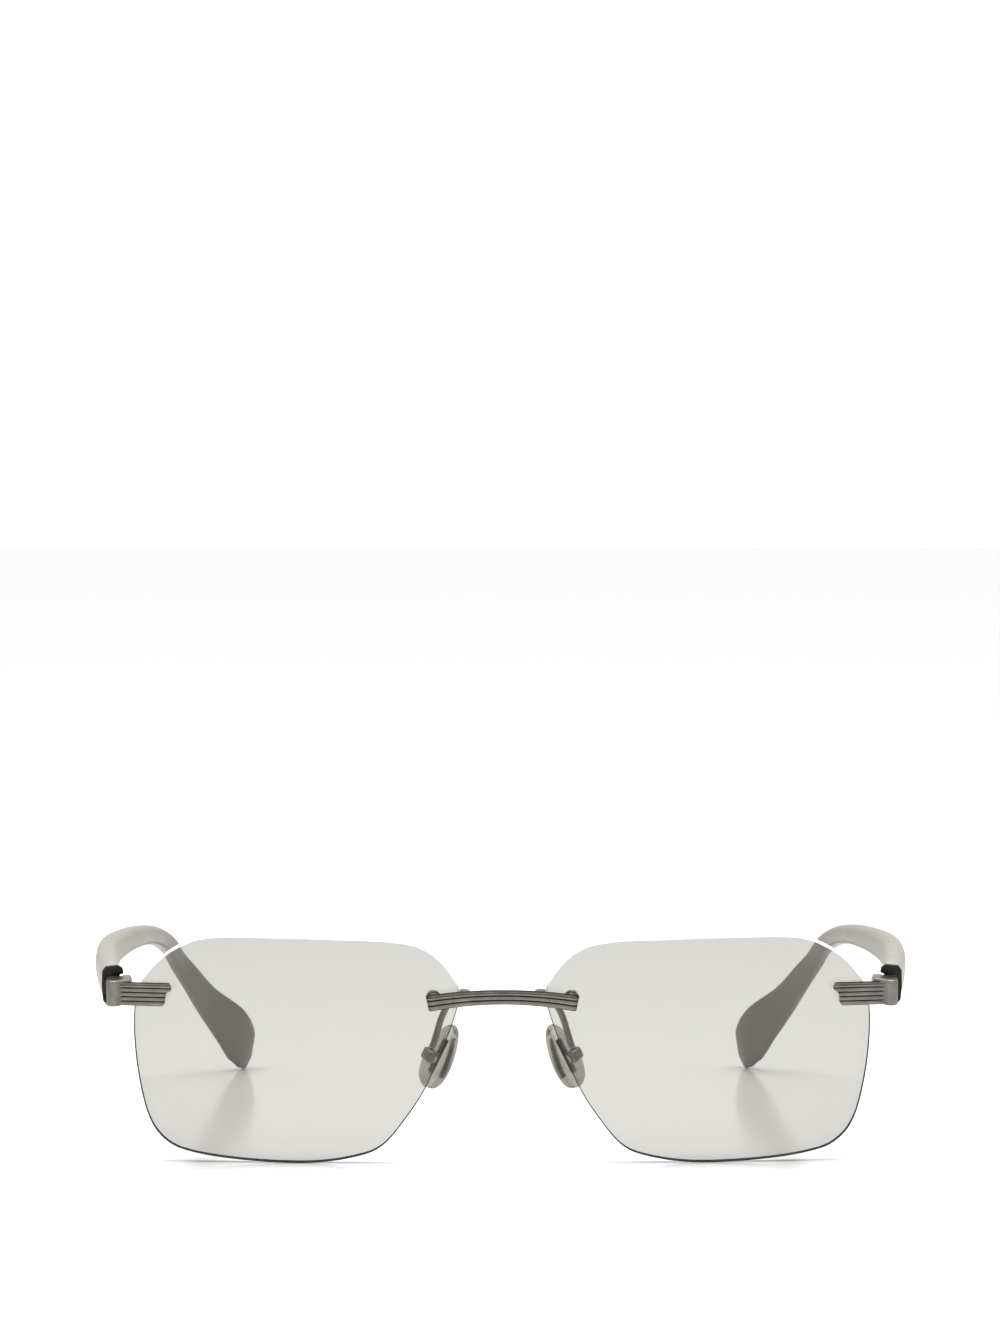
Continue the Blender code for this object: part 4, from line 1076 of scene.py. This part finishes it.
def make_pad_holder(label, side):
    matrix = FRONT @ pad_matrix(side)
    wide, deep, high = PAD_BOX
    shell = bevel_sharp(box((-wide / 2, -PAD_BOX_REAR, -high / 2),
                            (wide / 2, deep - PAD_BOX_REAR, high / 2)), PAD_BOX_BEVEL, 5)
    slot_half = PAD_STEM[0] / 2 + PAD_SLOT_PLAY
    slot = box((-slot_half, PAD_BOX_WALL - PAD_BOX_REAR, -CUT_PAST), (slot_half, CUT_PAST, CUT_PAST))
    mesh = fused("pad_box_" + label + "_mesh", shell, cut=[slot, pad_bore()])
    add_piece("pad_clevis_" + label, mesh, matrix, "front", [PEWTER],
              ["pad_box_" + label])

    head_radius, head_height = PAD_SCREW_HEAD
    base = wide / 2 + GAP
    tail = -wide / 2 - PAD_SCREW_TAIL
    profile = [(0.0, tail), (PAD_SCREW_RADIUS, tail), (PAD_SCREW_RADIUS, base), (head_radius, base),
               (head_radius, base + head_height - SCREW_CHAMFER),
               (head_radius - SCREW_CHAMFER, base + head_height), (0.0, base + head_height)]
    slot_wide, slot_deep = PAD_SCREW_SLOT
    slot = box((-CUT_PAST, -slot_wide / 2, base + head_height - slot_deep),
               (CUT_PAST, slot_wide / 2, base + 2 * head_height))
    mesh = fused("pad_screw_" + label + "_mesh", turned(profile, STUD_ROUND), cut=[slot])
    facing = Matrix.Rotation(-side * math.pi / 2, 4, "Y")
    add_piece("small_screw_" + label, mesh, matrix @ facing, "front", [STEEL],
              ["pad_screw_" + label])

    end = pad_matrix(side) @ Vector((0.0, -PAD_ARM_RADIUS, high / 2 + PAD_ARM_RADIUS / 2))
    route = [Vector((side * x * MM, y * MM, z * MM)) for x, y, z in PAD_ARM_ROUTE] + [end]
    wire = tube(smooth_path(route, PAD_ARM_STEPS), PAD_ARM_RADIUS)
    add_piece("pad_wire_" + label, mesh_from("pad_wire", wire), FRONT, "front",
              [PEWTER], ["pad_arm_" + label])


# ---------------------------------------------------------------- studio

def make_lamp():
    light = bpy.data.lights.new("overhead", "AREA")
    light.shape = "RECTANGLE"
    light.size, light.size_y = LAMP_SIZE
    light.energy = LAMP_POWER
    lamp = bpy.data.objects.new("overhead", light)
    lamp.location = LAMP_PLACE
    lamp.rotation_mode = "QUATERNION"
    lamp.rotation_quaternion = (Vector(LAMP_AIM) - Vector(LAMP_PLACE)).to_track_quat("-Z", "Y")
    bpy.context.scene.collection.objects.link(lamp)


def make_floor():
    bm = bmesh.new()
    bmesh.ops.create_grid(bm, x_segments=1, y_segments=1, size=FLOOR_HALF)
    floor = bpy.data.objects.new("studio_floor", mesh_from("studio_floor", bm))
    bpy.context.scene.collection.objects.link(floor)
    floor.location.z = cad_box[0][2] - FLOOR_GAP
    floor.data.materials.append(principled("studio_white", FLOOR_COLOUR, FLOOR_ROUGHNESS,
                                           {"Specular IOR Level": FLOOR_SHINE})[0])


def make_world():
    world = bpy.data.worlds.new("studio_world")
    world.use_nodes = True
    tree = world.node_tree
    background = tree.nodes["Background"]
    background.inputs["Color"].default_value = (1.0, 1.0, 1.0, 1.0)
    path = tree.nodes.new("ShaderNodeLightPath")
    strength = tree.nodes.new("ShaderNodeMapRange")
    strength.inputs["To Min"].default_value = WORLD_SEEN
    strength.inputs["To Max"].default_value = WORLD_FILL
    tree.links.new(path.outputs["Is Diffuse Ray"], strength.inputs["Value"])
    tree.links.new(strength.outputs["Result"], background.inputs["Strength"])
    bpy.context.scene.world = world


def make_camera():
    """Camera on the measured line of sight, tilted up so that the object sits low in the picture."""
    foot = TABLE.translation + Vector((0.0, 0.0, VIEW_TARGET_HEIGHT))
    back = Vector((math.sin(VIEW_AZIMUTH) * math.cos(VIEW_ELEVATION),
                   -math.cos(VIEW_AZIMUTH) * math.cos(VIEW_ELEVATION), math.sin(VIEW_ELEVATION)))
    data = bpy.data.cameras.new("camera")
    data.sensor_width = 36.0
    data.lens = CAMERA_LENS
    camera = bpy.data.objects.new("camera", data)
    aim = (-back).to_track_quat("-Z", "Y").to_matrix().to_4x4()
    tilt = Matrix.Rotation(CAMERA_TILT, 4, "X")
    pan = Matrix.Rotation(CAMERA_PAN, 4, "Y")
    camera.matrix_world = Matrix.Translation(foot + back * VIEW_DISTANCE) @ aim @ pan @ tilt
    bpy.context.scene.collection.objects.link(camera)
    bpy.context.scene.camera = camera


# ---------------------------------------------------------------- build

make_bridge()
for label, side in SIDES.items():
    make_lens(label, side)
    for place in MOUNT_PLACE:
        make_fasteners(place, label, side)
    make_end_piece(label, side)
    make_hinge_screw(label, side)
    make_temple(label, side)
    make_temple_cap(label, side)
    make_nose_pad(label, side)
    make_pad_holder(label, side)

make_floor()
make_world()
make_lamp()
make_camera()
bpy.context.scene.view_settings.view_transform = "Standard"

bpy.context.view_layer.update()
